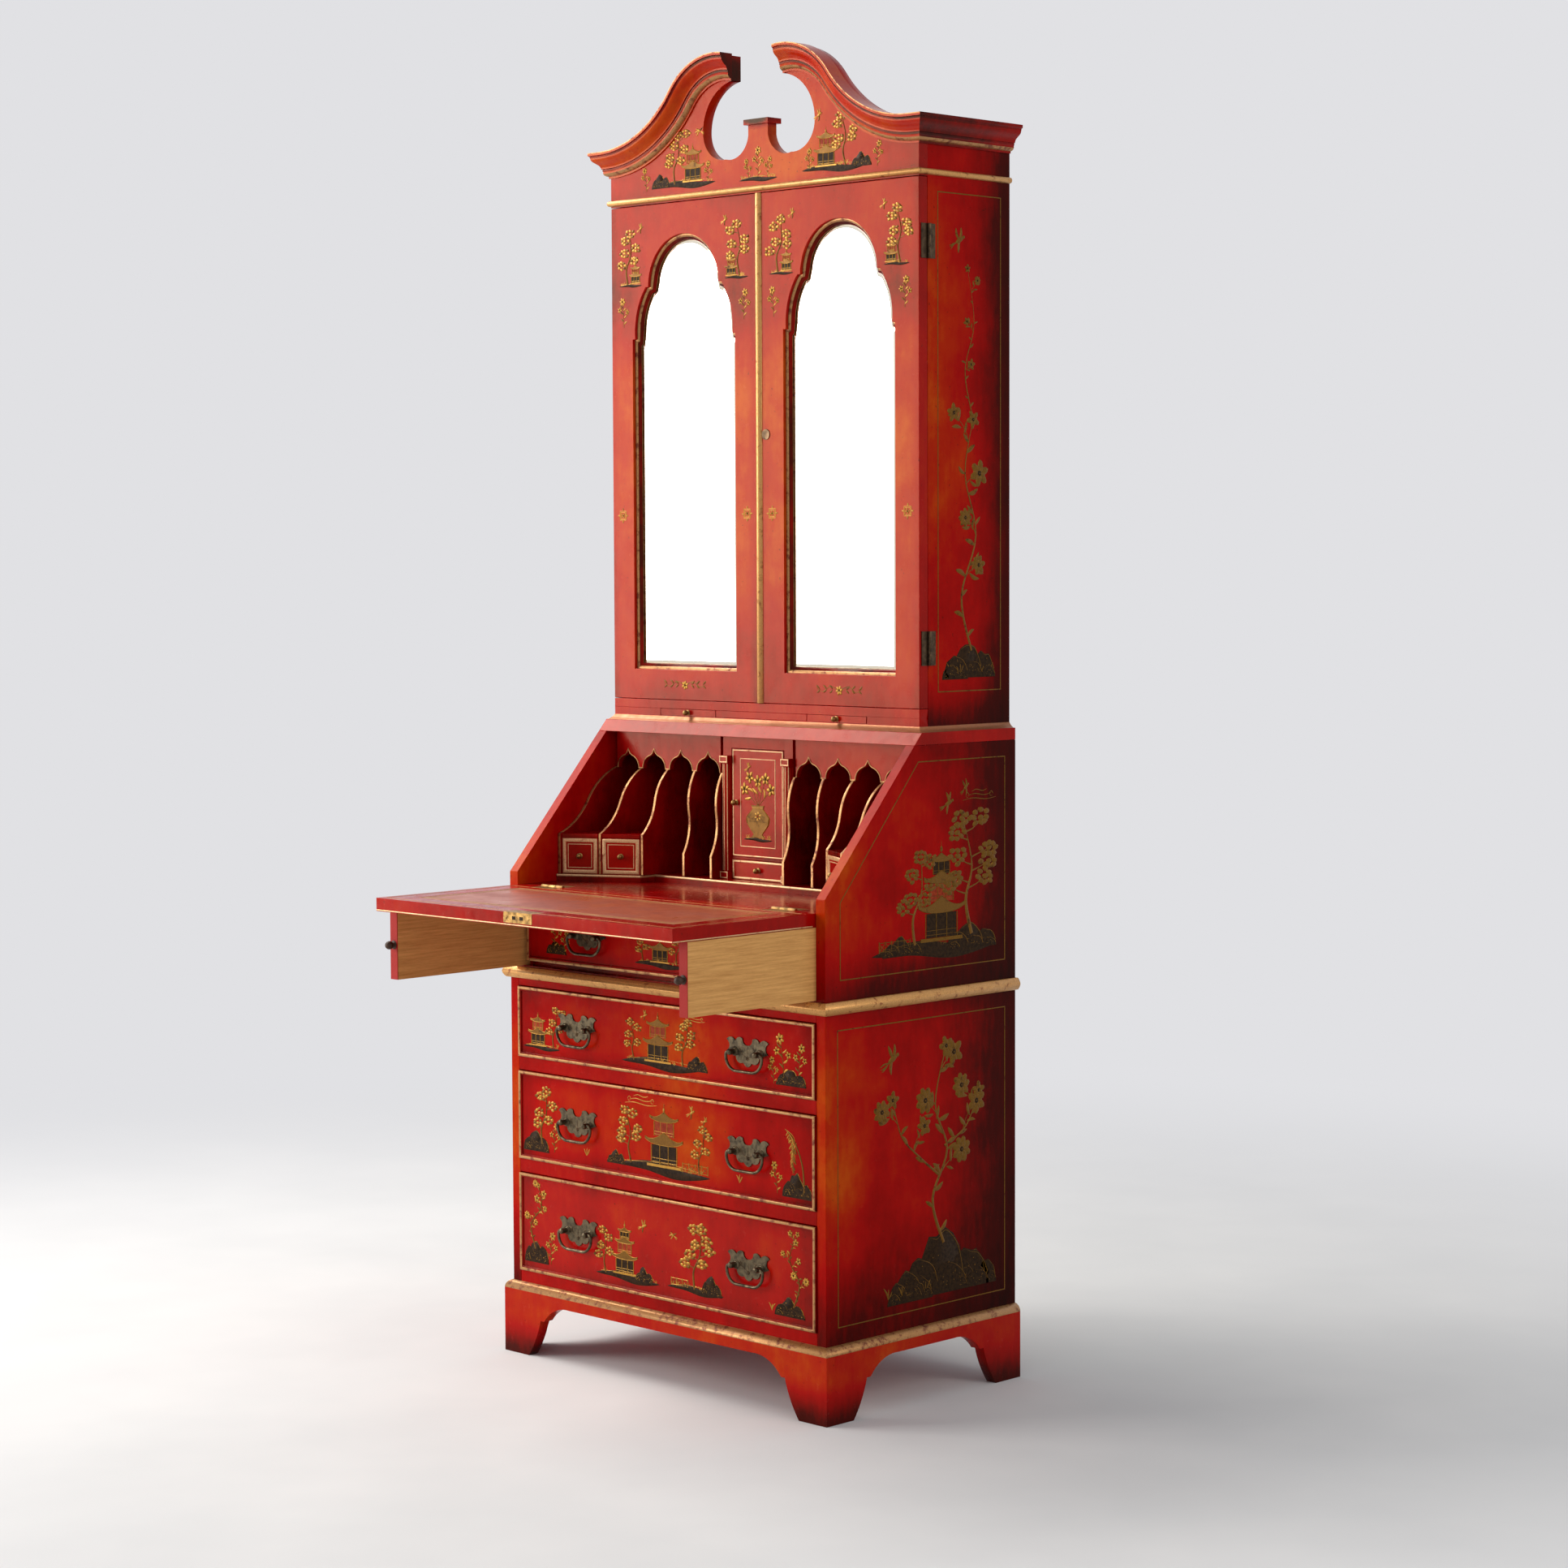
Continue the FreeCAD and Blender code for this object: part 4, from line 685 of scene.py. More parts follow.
    def cloud(self, u, v, wide):
        """A curled band of mist."""
        for row, share in enumerate((1.0, 0.7, 0.45)):
            y = v + row * wide * 0.085
            band = ((-0.5 * share, 0), (-0.2 * share, 0.035), (0.2 * share, 0), (0.5 * share, 0.03))
            self.stroke(spread(u, y, wide, band), 1.5, 0.6, GOLD, 0.8, True)
        for s in (-1, 1):
            curl = (u + s * 0.36 * wide, v + 0.1 * wide)
            self.stroke([polar(*curl, 0.05 * wide, t) for t in (0, 1.4, 2.8, 4.2, 5.4)], 1.3, 0.6, GOLD, 0.8)

    def fence(self, u, v, wide, tall):
        """A garden fence with posts and crossed rails."""
        posts = max(3, int(wide / 12))
        for i in range(posts + 1):
            x = u + wide * i / posts
            self.stroke([(x, v), (x, v + tall)], 1.4, 1.4, GOLD, 0.9)
            if i < posts:
                for start, end in ((0.15, 0.85), (0.85, 0.15)):
                    rail = [(x, v + start * tall), (x + wide / posts, v + end * tall)]
                    self.stroke(rail, 0.9, 0.9, BRONZE, 0.7)
        for share in (0.12, 0.88):
            self.stroke([(u, v + share * tall), (u + wide, v + share * tall)], 1.2, 1.2, GOLD, 1.0)

    def vase(self, u, v, tall):
        """A footed vase with a spray of flowers."""
        half = [(0.16, 0.0), (0.1, 0.06), (0.24, 0.22), (0.26, 0.34), (0.12, 0.48), (0.15, 0.54)]
        right = spread(u, v, tall, half)
        left = spread(u, v, tall, [(-a, b) for a, b in half[::-1]])
        self.plate(right + left, BRONZE, 0.8)
        self.stroke(right, 1.6, 1.2, GOLD, 1.2)
        self.stroke(left, 1.6, 1.2, GOLD, 1.2)
        self.stroke(spread(u, v, tall, ((-0.22, 0.27), (0.22, 0.27))), 1.4, 1.4, EARTH, 1.3)
        self.flower(u, v + 0.36 * tall, 0.1 * tall, 6, GOLD, ROSE)
        for way in (-1, 1):
            scroll = ((way * 0.12, 0.34), (way * 0.18, 0.4), (way * 0.2, 0.33))
            self.stroke(spread(u, v, tall, scroll), 1.2, 0.6, GOLD, 1.3)
        self.stroke(spread(u, v, tall, ((-0.13, 0.5), (0.13, 0.5))), 1.6, 1.6, GOLD, 1.3)
        mouth = v + 0.52 * tall
        for turn, reach in ((0.75, 0.42), (1.2, 0.5), (1.57, 0.42), (1.95, 0.52), (2.4, 0.42)):
            tip = polar(u, mouth, reach * tall, turn)
            self.stroke([(u, mouth), tip], 1.1, 0.7, BRONZE, 0.8)
            self.flower(*tip, 0.11 * tall, 5)
            self.leaf((u + tip[0]) / 2, (mouth + tip[1]) / 2, 0.16 * tall, turn + 0.9, GOLD, 0.35)

    def fret(self, u, v, size):
        """A square knot-work ornament about a flower."""
        for share in (0.5, 0.36):
            ring = rectangle(u - share * size, v - share * size, u + share * size, v + share * size)
            for a, b in zip(ring, ring[1:] + ring[:1]):
                self.stroke([a, b], 1.3, 1.3, GOLD, 0.8)
        self.flower(u, v, 0.3 * size, 4)
        for turn in (0, math.pi / 2, math.pi, -math.pi / 2):
            self.leaf(*polar(u, v, 0.5 * size, turn), 0.34 * size, turn, GOLD, 0.6)

    def sprig(self, u, v, tall, lean):
        """A small flowering plant."""
        stem = [(u, v), (u + 0.3 * lean, v + 0.5 * tall), (u + lean, v + tall)]
        self.stroke(stem, max(1.2, 0.03 * tall), 0.6, BRONZE, 0.8)
        for k in range(6):
            share, turn = 0.12 + 0.13 * k, math.pi / 2 + (0.95 if k % 2 else -0.95)
            spot = (u + lean * share * share, v + tall * share)
            self.leaf(*spot, tall * 0.2, turn, (GOLD, BRONZE)[k % 2], 0.34)
        self.flower(u + lean, v + tall, tall * 0.13 + 1.5, 6)
        self.flower(u + lean * 0.4 - 0.2 * tall, v + tall * 0.68, tall * 0.1 + 1.2, 5)
        self.flower(u + lean * 0.4 + 0.22 * tall, v + tall * 0.6, tall * 0.09 + 1.2, 5)


# Sizes and colours that a user would change

class CabinetSizes(bpy.types.PropertyGroup):
    """Sizes of the board edges, the drawer beads, the mirror slips and the gilt lines."""
    edge: FloatProperty(name="Edge wear", description="How far the boards' edges are rounded",
                        default=0.0009, min=0.0002, unit="LENGTH")
    bead: FloatProperty(name="Drawer bead", description="Width of the gilt bead round a drawer",
                        default=0.0046, min=0.002, unit="LENGTH")
    slip: FloatProperty(name="Mirror slip", description="Width of the gilt slip round a mirror",
                        default=0.009, min=0.002, unit="LENGTH")
    line: FloatProperty(name="Border line", description="Width of the gilt lines on the panels",
                        default=0.0016, min=0.0005, unit="LENGTH")


class CabinetColours(bpy.types.PropertyGroup):
    """Tints over the lacquer and the leather."""
    lacquer: FloatVectorProperty(name="Lacquer tint", description="Colour laid over the lacquer",
                                 subtype="COLOR", default=(1.0, 1.0, 1.0), min=0.0, max=1.0)
    leather: FloatVectorProperty(name="Leather tint", description="Colour laid over the writing leather",
                                 subtype="COLOR", default=(1.0, 1.0, 1.0), min=0.0, max=1.0)


def shared(name):
    """A material by its name, made by the finishes operator."""
    return bpy.data.materials[name]


def gilt_piece(name, shapes, leaf, body, smooth=45.0):
    """Makes gilt lines or beads into one piece, with one of the shared leaves."""
    return piece(name, *merged(shapes), [shared(leaf)], body, "gilt_wood", smooth=smooth)


def panel(name, soft, glows=(), lift=0.0, gloss=GLOSS):
    """Lacquer darker at a board's edges by antiquing and painted shade, with painted light or shade in
    places.

    Each soft edge is an axis, the width inwards from its low end, or minus that from its high end, and the
    tone left.
    """
    lo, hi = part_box(name)
    fades = [(axis, (lo if width > 0 else hi)[axis], width, least) for axis, width, least in soft]
    return red_lacquer(f"red lacquer {name}", fades, glows, lift, gloss)


def middle_glow(name, reach, amount, shift=0.0):
    """A round painted glow of light in the middle of a board, or shifted to its right."""
    lo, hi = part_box(name)
    return (lo + hi) / 2 + Vector((shift, 0, 0)), (reach, reach, reach), amount


# Operators

class CABINET_OT_finishes(bpy.types.Operator):
    """Softens the edges of the CAD boards and gives each its finish"""
    bl_idname = "cabinet.finishes"
    bl_label = "Board finishes"

    def execute(self, context):
        # mouldings: warm and rubbed, paler on the small frames with painted highlight, duller below 1.2 m
        leaf, ground = "#D8A05C", "#8E4A24"
        gilt = gilding("gilded wood", leaf, ground)
        beads = gilding("gilded beads", leaf, ground, low=(1.2, "#A8683E"))
        gilding("gilding with painted highlight", "#E2B684", "#A8643C", 0.4, 0.4)
        rubbed = gilding("rubbed gilding", "#B98650", "#7A3A22", 0.5, 0.47)
        # raised work: yellow leaf on the fronts, a dimmer copy as painted shade on the sides, bronze powder
        # in its shadows
        gilding("raised gilding", "#B9861E", "#6E4416", 0.45, 0.4)
        gilding("dimmed gilding", "#7A5516", "#48290C", 0.25, 0.42, 0.1)
        gilding("raised bronze powder", "#7C5518", "#43270C", 0.35, 0.42, 0.15)
        painted("burnt umber paint", "#38240C", "#1A0E06")
        painted("rose lacquer", "#A8401E", "#7A2414")
        gilding("tooled gold", "#B07F3C", "#7A3A1E", 0.5, 0.45)
        # turned loper knobs: almost black and smooth from use
        wood("dark walnut", "#4A2F1E", "#2A190F", (4.0, 4.0, 4.0), 0.4)
        # handles grey-brown, knobs and lock bright, hinges nearly black above and warmer at the fall
        brass = antique_brass("antique brass", "#665943", "#2C251B")
        dark = antique_brass("darkened brass", "#5C4833", "#2E2318")
        bright = antique_brass("rubbed brass", "#A88348", "#5F4524")
        hinges = antique_brass("hinge brass", "#5C4833", "#2E2318", (0.9, "#947140"))
        glass = silvered_glass("silvered glass", "#FBFCFC", "#EEF1F0")
        # the bevels' warm tint is painted reflection, a cream gleam like the gilt slip's
        silvered_glass("bevelled glass", "#FFF6E4", "#F6E8CC")
        oak = wood("drawer oak", "#B98A55", "#86592F", (6.0, 0.4, 6.0))
        backing = wood("backing pine", "#7C5636", "#432D1C", (6.0, 6.0, 0.3), board=118.0)
        # painted shade: a darker copy of the lacquer for hollows, ends and faces turned from the light
        red_lacquer("shadow red lacquer", lift=-0.3)
        inside = red_lacquer("shaded red lacquer", lift=-0.2)
        plain = red_lacquer("red lacquer")

        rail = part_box("cabinet_boards")[0].y
        # painted light: a warm glow across the middle of the rails, as a reflection there
        glow = ((0.04, FRONT, 0.46), (0.18, 0.4, 0.14), 0.3)
        named = {
            "fall_brasses": bright, "fixed_hinge_leaves": hinges, "back_panels": backing,
            "waist_moulding": gilt, "door_astragal": gilt, "cabinet_beads": beads, "plinth_bead": rubbed,
            "desk_bed": inside, "pigeonhole_dividers": inside,
            "fall_leather": writing_leather("writing leather"),
            # painted shade: darker inside, behind the rail of the candle slides
            "cabinet_boards": red_lacquer("red lacquer cabinet_boards", [(1, rail + 0.05, -0.04, 0.62)]),
            "base_rails": red_lacquer("red lacquer base_rails", (), [glow], -0.04, 0.08),
            # painted shade: the bracket base darkens towards the floor
            "bracket_base": panel("bracket_base", [(2, 0.07, 0.22)], (), 0.18),
            "pediment_board": self.pediment_panel("pediment_board"),
        }
        endings = (("_plates", brass), ("_bail_left", brass), ("_bail_right", brass), ("_brasses", dark),
                   ("_mirror", glass), ("_box", oak), ("_back", backing))
        fronts = [f"{drawer}_front" for drawer in FRONT_DRAWERS]
        edge = context.scene.cabinet_sizes.edge
        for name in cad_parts:
            ended = [kind for ending, kind in endings if name.endswith(ending)]
            if name in named:
                made = named[name]
            elif ended:
                made = ended[0]
            elif name.startswith("loper"):
                made = wood(f"oak {name}", "#E8AE66", "#BE8443", (9.0, 0.35, 9.0),
                            end=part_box(name)[0].y + KNOB_LENGTH * LOPER_KNOB * MM)
            elif name in ("base_sides", "desk_sides", "cabinet_sides"):
                made = self.side_panel(name)
            elif name.endswith("drawer_front") or name in fronts:
                made = self.drawer_panel(name)
            elif name.endswith("_frame"):
                made = self.door_panel(name)
            else:
                made = plain
            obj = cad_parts[name]
            obj.data.materials.clear()
            obj.data.materials.append(made)
            if made != glass:
                self.wear(obj, edge * (0.5 if made in (brass, dark, bright, hinges) else 1.0))
        return {"FINISHED"}

    @staticmethod
    def wear(obj, width):
        """Rounds the edges of a board, as use does."""
        weld = obj.modifiers.new("joined", "WELD")
        weld.merge_threshold = 0.01 * MM
        rounded = obj.modifiers.new("worn edges", "BEVEL")
        rounded.width = width
        rounded.segments = 2
        rounded.limit_method = "ANGLE"
        rounded.angle_limit = math.radians(38)
        rounded.harden_normals = True

    @staticmethod
    def side_panel(name):
        """Side lacquer: a painted glow of light near the front, darker back and foot by antiquing and painted
        shade.
        """
        lo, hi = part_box(name)
        foot = {"base_sides": 0.2, "desk_sides": 0.13, "cabinet_sides": 0.09}[name]
        height = lo.z + 0.55 * (hi.z - lo.z)
        soft = [(1, -0.55 * (hi.y - lo.y), 0.25), (2, foot, 0.35), (2, -0.05, 0.8)]
        return panel(name, soft, [((0.0, lo.y, height), (2.0, 0.13, 0.34), 0.32)], 0.02, 0.05)

    @staticmethod
    def drawer_panel(name):
        """Drawer front lacquer: edges darker by antiquing and painted shade, a painted glow of light right of
        middle.
        """
        warm = {"drawer_1_front": 0.34, "drawer_2_front": 0.28, "drawer_3_front": 0.08}.get(name, 0.0)
        soft = [(0, 0.07, 0.72), (0, -0.07, 0.72), (2, 0.035, 0.66), (2, -0.03, 0.8)]
        gloss = 0.15 if name == "drawer_3_front" else 0.07
        return panel(name, soft, [middle_glow(name, 0.2, warm, 0.04)], 0.03, gloss)

    @staticmethod
    def door_panel(name):
        """Lacquer of a door's frame: painted light glows in the middle, painted shade dulls it beside the
        mirror's head.
        """
        glow = middle_glow(name, 0.5, 0.38)
        # painted shade on both sides of the mirror's head
        shade_by_head = [((glow[0].x + way * 0.12, glow[0].y, 1.64), (0.08, 0.3, 0.11), -0.3) for way in (-1, 1)]
        return panel(name, [(0, 0.02, 0.7), (0, -0.02, 0.7), (2, 0.05, 0.8)], [glow] + shade_by_head, -0.02, 0.15)

    @staticmethod
    def pediment_panel(name):
        """Lacquer of the pediment: a painted glow of light in the middle, darker at the post's cap, painted
        shade on the horns' ends.
        """
        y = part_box(name)[0].y
        glows = [middle_glow(name, 0.3, 0.42), ((0.0, y, 1.899), (0.05, 0.3, 0.018), -1.2)]
        glows += [((way * HORN_END * MM, y, 1.97), (0.014, 0.3, 0.06), -0.6) for way in (-1, 1)]
        return panel(name, [(2, 0.03, 0.75), (2, -0.09, 0.7)], glows, -0.02, 0.16)


class CABINET_OT_cornice(bpy.types.Operator):
    """Runs the moulded swan-neck cornice and its straight returns"""
    bl_idname = "cabinet.cornice"
    bl_label = "Cornice"

    def execute(self, context):
        section = [(0.0, 0.0), (26.0, 0.0), (26.0, 1.5), (26.0, 4.5), (24.0, 5.5), (23.2, 8.0)]
        for i in range(1, 9):
            t = i / 8
            wave = math.sin(2 * math.pi * t) / (2 * math.pi) * 0.85
            section.append((23.2 - 12.2 * (t - wave), 8.0 + 17.0 * t))
        section += [(9.5, 25.6), (9.5, 28.5), (8.6, 29.3), (8.8, 32.0), (7.4, 34.6), (5.0, 36.2), (2.4, 37.0),
                    (2.4, 40.0), (0.0, 40.0)]
        count, steps = len(section), 28
        rise = CREST[1] - CORNICE_TOP
        turn = 2 * math.atan(rise / (CABINET - CREST[0]))
        radii = rise / (1 - math.cos(turn))
        crest, hollow = 0.38 * radii, 0.62 * radii
        rows = [[self.neck(out, drop, i / steps, turn, crest, hollow) for out, drop in section]
                for i in range(steps + 1)]
        rows.append([(CABINET + out, CABINET_FRONT - out, CORNICE_TOP - drop) for out, drop in section])
        rows.append([(CABINET + out, DEPTH - 0.5, CORNICE_TOP - drop) for out, drop in section])
        finish = [red_lacquer("red lacquer cornice", lift=0.26, gloss=0.24), shared("rubbed gilding"),
                  shared("shadow red lacquer"), shared("shaded red lacquer")]
        # slots of the section's faces: gilt lines, painted shade in the hollows, on the returns and their
        # ends
        necks = [{1: 1, 3: 2, 4: 2, 13: 2, 14: 2, 17: 1, 18: 1, 19: 1}.get(j, 0) for j in range(count)]
        returns = [2 if j in (1, 2, 3, 4, 13, 14) else 1 if j in (17, 18, 19) else 3 for j in range(count)]
        tints = necks * (len(rows) - 2) + returns + [2, 2]
        faces = skin(len(rows), count)
        for side, word in SIDES:
            verts = [(side * x * MM, FRONT + y * MM, z * MM) for row in rows for x, y, z in row]
            obj = piece(f"cornice_run_{word}", verts, faces, finish, "case", "red_lacquer", tints, 32.0)
            if side == -1:
                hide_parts("cornice_mouldings")
        return {"FINISHED"}

    @staticmethod
    def neck(out, drop, t, turn, crest, hollow):
        """A point of the section at a share of the neck's length, from the horn's end down to the corner."""
        front = CABINET_FRONT - out
        end = math.asin((HORN_END - CREST[0]) / (crest - drop))
        split = (turn - end) * crest / ((turn - end) * crest + turn * hollow)
        if t < split:
            angle, radius = end + (turn - end) * t / split, crest - drop
            return CREST[0] + radius * math.sin(angle), front, CREST[1] - crest + radius * math.cos(angle)
        angle, radius = turn * (1 - (t - split) / (1 - split)), hollow + drop
        return CABINET - radius * math.sin(angle), front, CORNICE_TOP + hollow - radius * math.cos(angle)


class CABINET_OT_drawer_beads(bpy.types.Operator):
    """Lays a gilt bead round each drawer front"""
    bl_idname = "cabinet.drawer_beads"
    bl_label = "Drawer beads"

    def execute(self, context):
        section = [(a, h - 0.1) for a, h in half_round(context.scene.cabinet_sizes.bead / MM, 1.3, 1.8)]
        for name in FRONT_DRAWERS:
            lo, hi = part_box(f"{name}_front")
            path = rectangle(lo.x / MM + 0.1, lo.z / MM + 0.1, hi.x / MM - 0.1, hi.z / MM - 0.1)
            bead = sweep(front_face(front_of(f"{name}_front")), path, section)
            gilt_piece(f"{name}_gilt_bead", [bead], "rubbed gilding", name, 50.0)
        return {"FINISHED"}


class CABINET_OT_mirrors(bpy.types.Operator):
    """Sets the bevelled mirror plates and their gilt slips in the doors"""
    bl_idname = "cabinet.mirrors"
    bl_label = "Mirrors and slips"

    def execute(self, context):
        width = context.scene.cabinet_sizes.slip / MM
        section = [(-0.2, -8.0), (width, -8.0), (width, -7.2), (width * 0.8, -5.2), (width * 0.55, -4.4),
                   (width * 0.5, -3.2), (width * 0.3, -1.4), (width * 0.1, -0.9), (-0.2, -1.2)]
        leaf = [shared("rubbed gilding"), shared("shadow red lacquer")]
        silver = [shared("silvered glass"), shared("bevelled glass")]
        gap, bevel, depth = 0.15, 14.0, 2.1  # round the plate, and across and through its bevel
        for side, word in SIDES:
            outline = self.opening(side * DOOR_MIDDLE)
            verts, faces = sweep(front_face(CABINET_FRONT + 3.5), outline, section)
            # the slip's outer faces take painted shadow, a dark line round the glass
            tints = [1 if f % len(section) in (2, 3, 4) else 0 for f in range(len(faces))]
            piece(f"mirror_slip_{word}", verts, faces, leaf, f"door_{word}", "gilt_wood", tints, 50.0)
            glass, count = f"door_{word}_mirror", len(outline)
            lo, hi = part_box(glass)
            rings = ((gap, hi.y), (gap, lo.y + depth * MM), (bevel, lo.y))
            verts = [((u + inset * mu) * MM, y, (v + inset * mv) * MM)
                     for inset, y in rings for (u, v), (mu, mv) in zip(outline, mitres(outline, True))]
            faces, tints = skin(len(rings), count), [0] * count + [1] * count + [0, 0]
            plate = piece(f"bevelled_mirror_{word}", verts, faces, silver, f"door_{word}", "mirror", tints,
                          1.0)
            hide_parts(glass)
        return {"FINISHED"}

    @staticmethod
    def opening(middle):
        """The shaped opening of a door, anticlockwise from its lower right corner."""
        half, sill, shoulder, head = 114.0, 1064.0, 1580.0, 1660.0
        lobe, crown = 108.0, 78.0  # half widths over the shoulder and at the round head
        right = [(half, sill), (half, shoulder), (lobe, shoulder)]
        right += arc((lobe, shoulder), (84.0, head), -0.1, 8)[1:] + [(crown, head)]
        top = [polar(0.0, head, crown, math.pi * i / 28) for i in range(1, 28)]
        return [(middle + u, v) for u, v in right + top + [(-u, v) for u, v in right[::-1]]]


class CABINET_OT_side_lines(bpy.types.Operator):
    """Draws a gilt border line on each panel of the sides"""
    bl_idname = "cabinet.side_lines"
    bl_label = "Side lines"

    def execute(self, context):
        thin = half_round(context.scene.cabinet_sizes.line / MM, 0.5)
        for side, word in SIDES:
            lower, upper = side_face(side, CASE), side_face(side, CABINET)
            runs = [sweep(lower, rectangle(24, 136, 388, 566), thin),
                    sweep(lower, [(30, 636), (388, 636), (388, 942), (196, 942), (30, 748)], thin),
                    sweep(upper, rectangle(252, 1040, 392, 1768), thin)]
            gilt_piece(f"side_lines_{word}", runs, "dimmed gilding", "case", 60.0)
        return {"FINISHED"}


def splay_y(x):
    """Front line of the splayed drawers, at a distance from the middle: it runs back 33 mm in each bay."""
    return 84.0 + (322.0 - x) / BAY * 33.0


def splayed(side, x0, x1):
    """The slanting face of a small drawer, from its inner to its outer end, and its length."""
    y0, y1 = splay_y(x0), splay_y(x1)
    face = Plane((side * x0, y0, 0), (side * (x1 - x0), y1 - y0, 0), (side * (y1 - y0), -(x1 - x0), 0))
    return face, math.hypot(x1 - x0, y1 - y0)


class CABINET_OT_pigeonholes(bpy.types.Operator):
    """Gilds the edges of the pigeonholes, their valances, the columns and the raised base"""
    bl_idname = "cabinet.pigeonholes"
    bl_label = "Pigeonhole gilding"

    def execute(self, context):
        strip = [(-0.3, -2.4), (-0.3, 2.4), (0.5, 2.2), (0.9, 0.0), (0.5, -2.2)]
        edges, arches, shafts = [], [], []
        for side in (-1, 1):
            # each divider's place, its front, and the height where its curve starts
            for x, front, foot in (
                    (319, splay_y(322), 808), (261, splay_y(261), 808), (200, splay_y(200), 808),
                    (139, SETBACK - 25, 780), (78, SETBACK - 25, 780)):
                low, high = (front, foot), (SETBACK, VALANCE)
                middle = ((low[0] + high[0]) / 2, (low[1] + high[1]) / 2)
                path = [(front, DESK_FLOOR)] + arc(low, middle, -0.09) + arc(middle, high, 0.09)[1:]
                edges.append(sweep(Plane((side * x, 0, 0), (0, 1, 0), (1, 0, 0)), path, strip, False))
            path = []
            for bay in range(4):
                near = BAY_START + bay * BAY + 2.5
                far = min(BAY_START + (bay + 1) * BAY - 6.0, 316.0) - 2.5
                rise = (far - near) * 0.62
                tip = ((near + far) / 2, VALANCE + rise)
                left, right = [((end + tip[0]) / 2, VALANCE + 0.62 * rise) for end in (near, far)]
                path += arc((near, VALANCE), left, 0.16, 5) + arc(left, tip, -0.16, 5)[1:]
                path += arc(tip, right, -0.16, 5)[1:] + arc(right, (far, VALANCE), 0.16, 5)[1:]
            if side == -1:
                path = [(-u, v) for u, v in path[::-1]]
            arches.append(sweep(front_face(SETBACK), path, half_round(2.2, 0.9), False))
            x = side * COLUMN
            for turn in (-0.75, 0.0, 0.75):
                ahead, aside = math.cos(turn), math.sin(turn)
                face = Plane((x + 7 * aside, SETBACK - 7 * ahead, 0), (ahead, aside, 0), (aside, -ahead, 0))
                shafts.append(sweep(face, [(0.8, 758.0), (0.8, 922.0)], half_round(1.6, 0.7), False))
            for low in (DESK_FLOOR, 924.0):
                block = rectangle(x - 8.6, low, x + 8.6, low + 10.6)
                shafts.append(sweep(front_face(SETBACK - 9.0), block, half_round(2.0, 0.7)))
        gilt_piece("pigeonhole_gilt_edges", edges, "rubbed gilding", "case")
        gilt_piece("valance_gilt_edges", arches, "rubbed gilding", "case")
        gilt_piece("column_gilt_reeds", shafts, "gilding with painted highlight", "case")
        top = Plane((0, 0, 745.0), (1, 0, 0), (0, 0, 1), (0, 1, 0))
        right = [(200, SETBACK - 29), (200, splay_y(200) - 4), (321, splay_y(321) - 4)]
        nosing = [(0.3, -4.2), (-0.2, -4.0), (-0.9, -3.2), (-1.1, -2.1), (-0.9, -1.0), (-0.2, -0.2),
                  (0.3, -0.1)]
        edge = sweep(top, [(-u, v) for u, v in right[::-1]] + right, nosing, False)
        gilt_piece("desk_nosing", [edge], "gilding with painted highlight", "case")
        return {"FINISHED"}


class CABINET_OT_small_drawers(bpy.types.Operator):
    """Frames the small drawers and the prospect door with gilt lines"""
    bl_idname = "cabinet.small_drawers"
    bl_label = "Small drawer frames"

    def execute(self, context):
        for place, ends in SMALL_DRAWERS.items():
            for side, word in SIDES:
                face, long = splayed(side, *ends)
                shapes = [sweep(face, rectangle(0.5, DESK_FLOOR, long - 0.5, 801.0), half_round(6.0, 1.0)),
                          sweep(face, rectangle(9.0, 754.5, long - 9.0, 792.5), half_round(1.4, 0.5))]
                name = f"inner_drawer_{place}_{word}"
                gilt_piece(f"{name}_gilt_frame", shapes, "gilding with painted highlight", name)
        face = front_face(SETBACK)
        frames = [sweep(face, rectangle(-55.6, DESK_FLOOR, 55.6, 775.0), half_round(3.4, 0.8))]
        lines = [sweep(face, rectangle(-54.4, 781.2, 54.4, 945.0), half_round(2.2, 0.8)),
                 sweep(face, rectangle(-38.0, 796.0, 38.0, 932.0), half_round(1.4, 0.6))]
        gilt_piece("centre_drawer_gilt_frame", frames, "gilding with painted highlight", "centre_drawer")
        gilt_piece("prospect_door_gilt_line", lines, "gilding with painted highlight", "prospect_door")
        return {"FINISHED"}


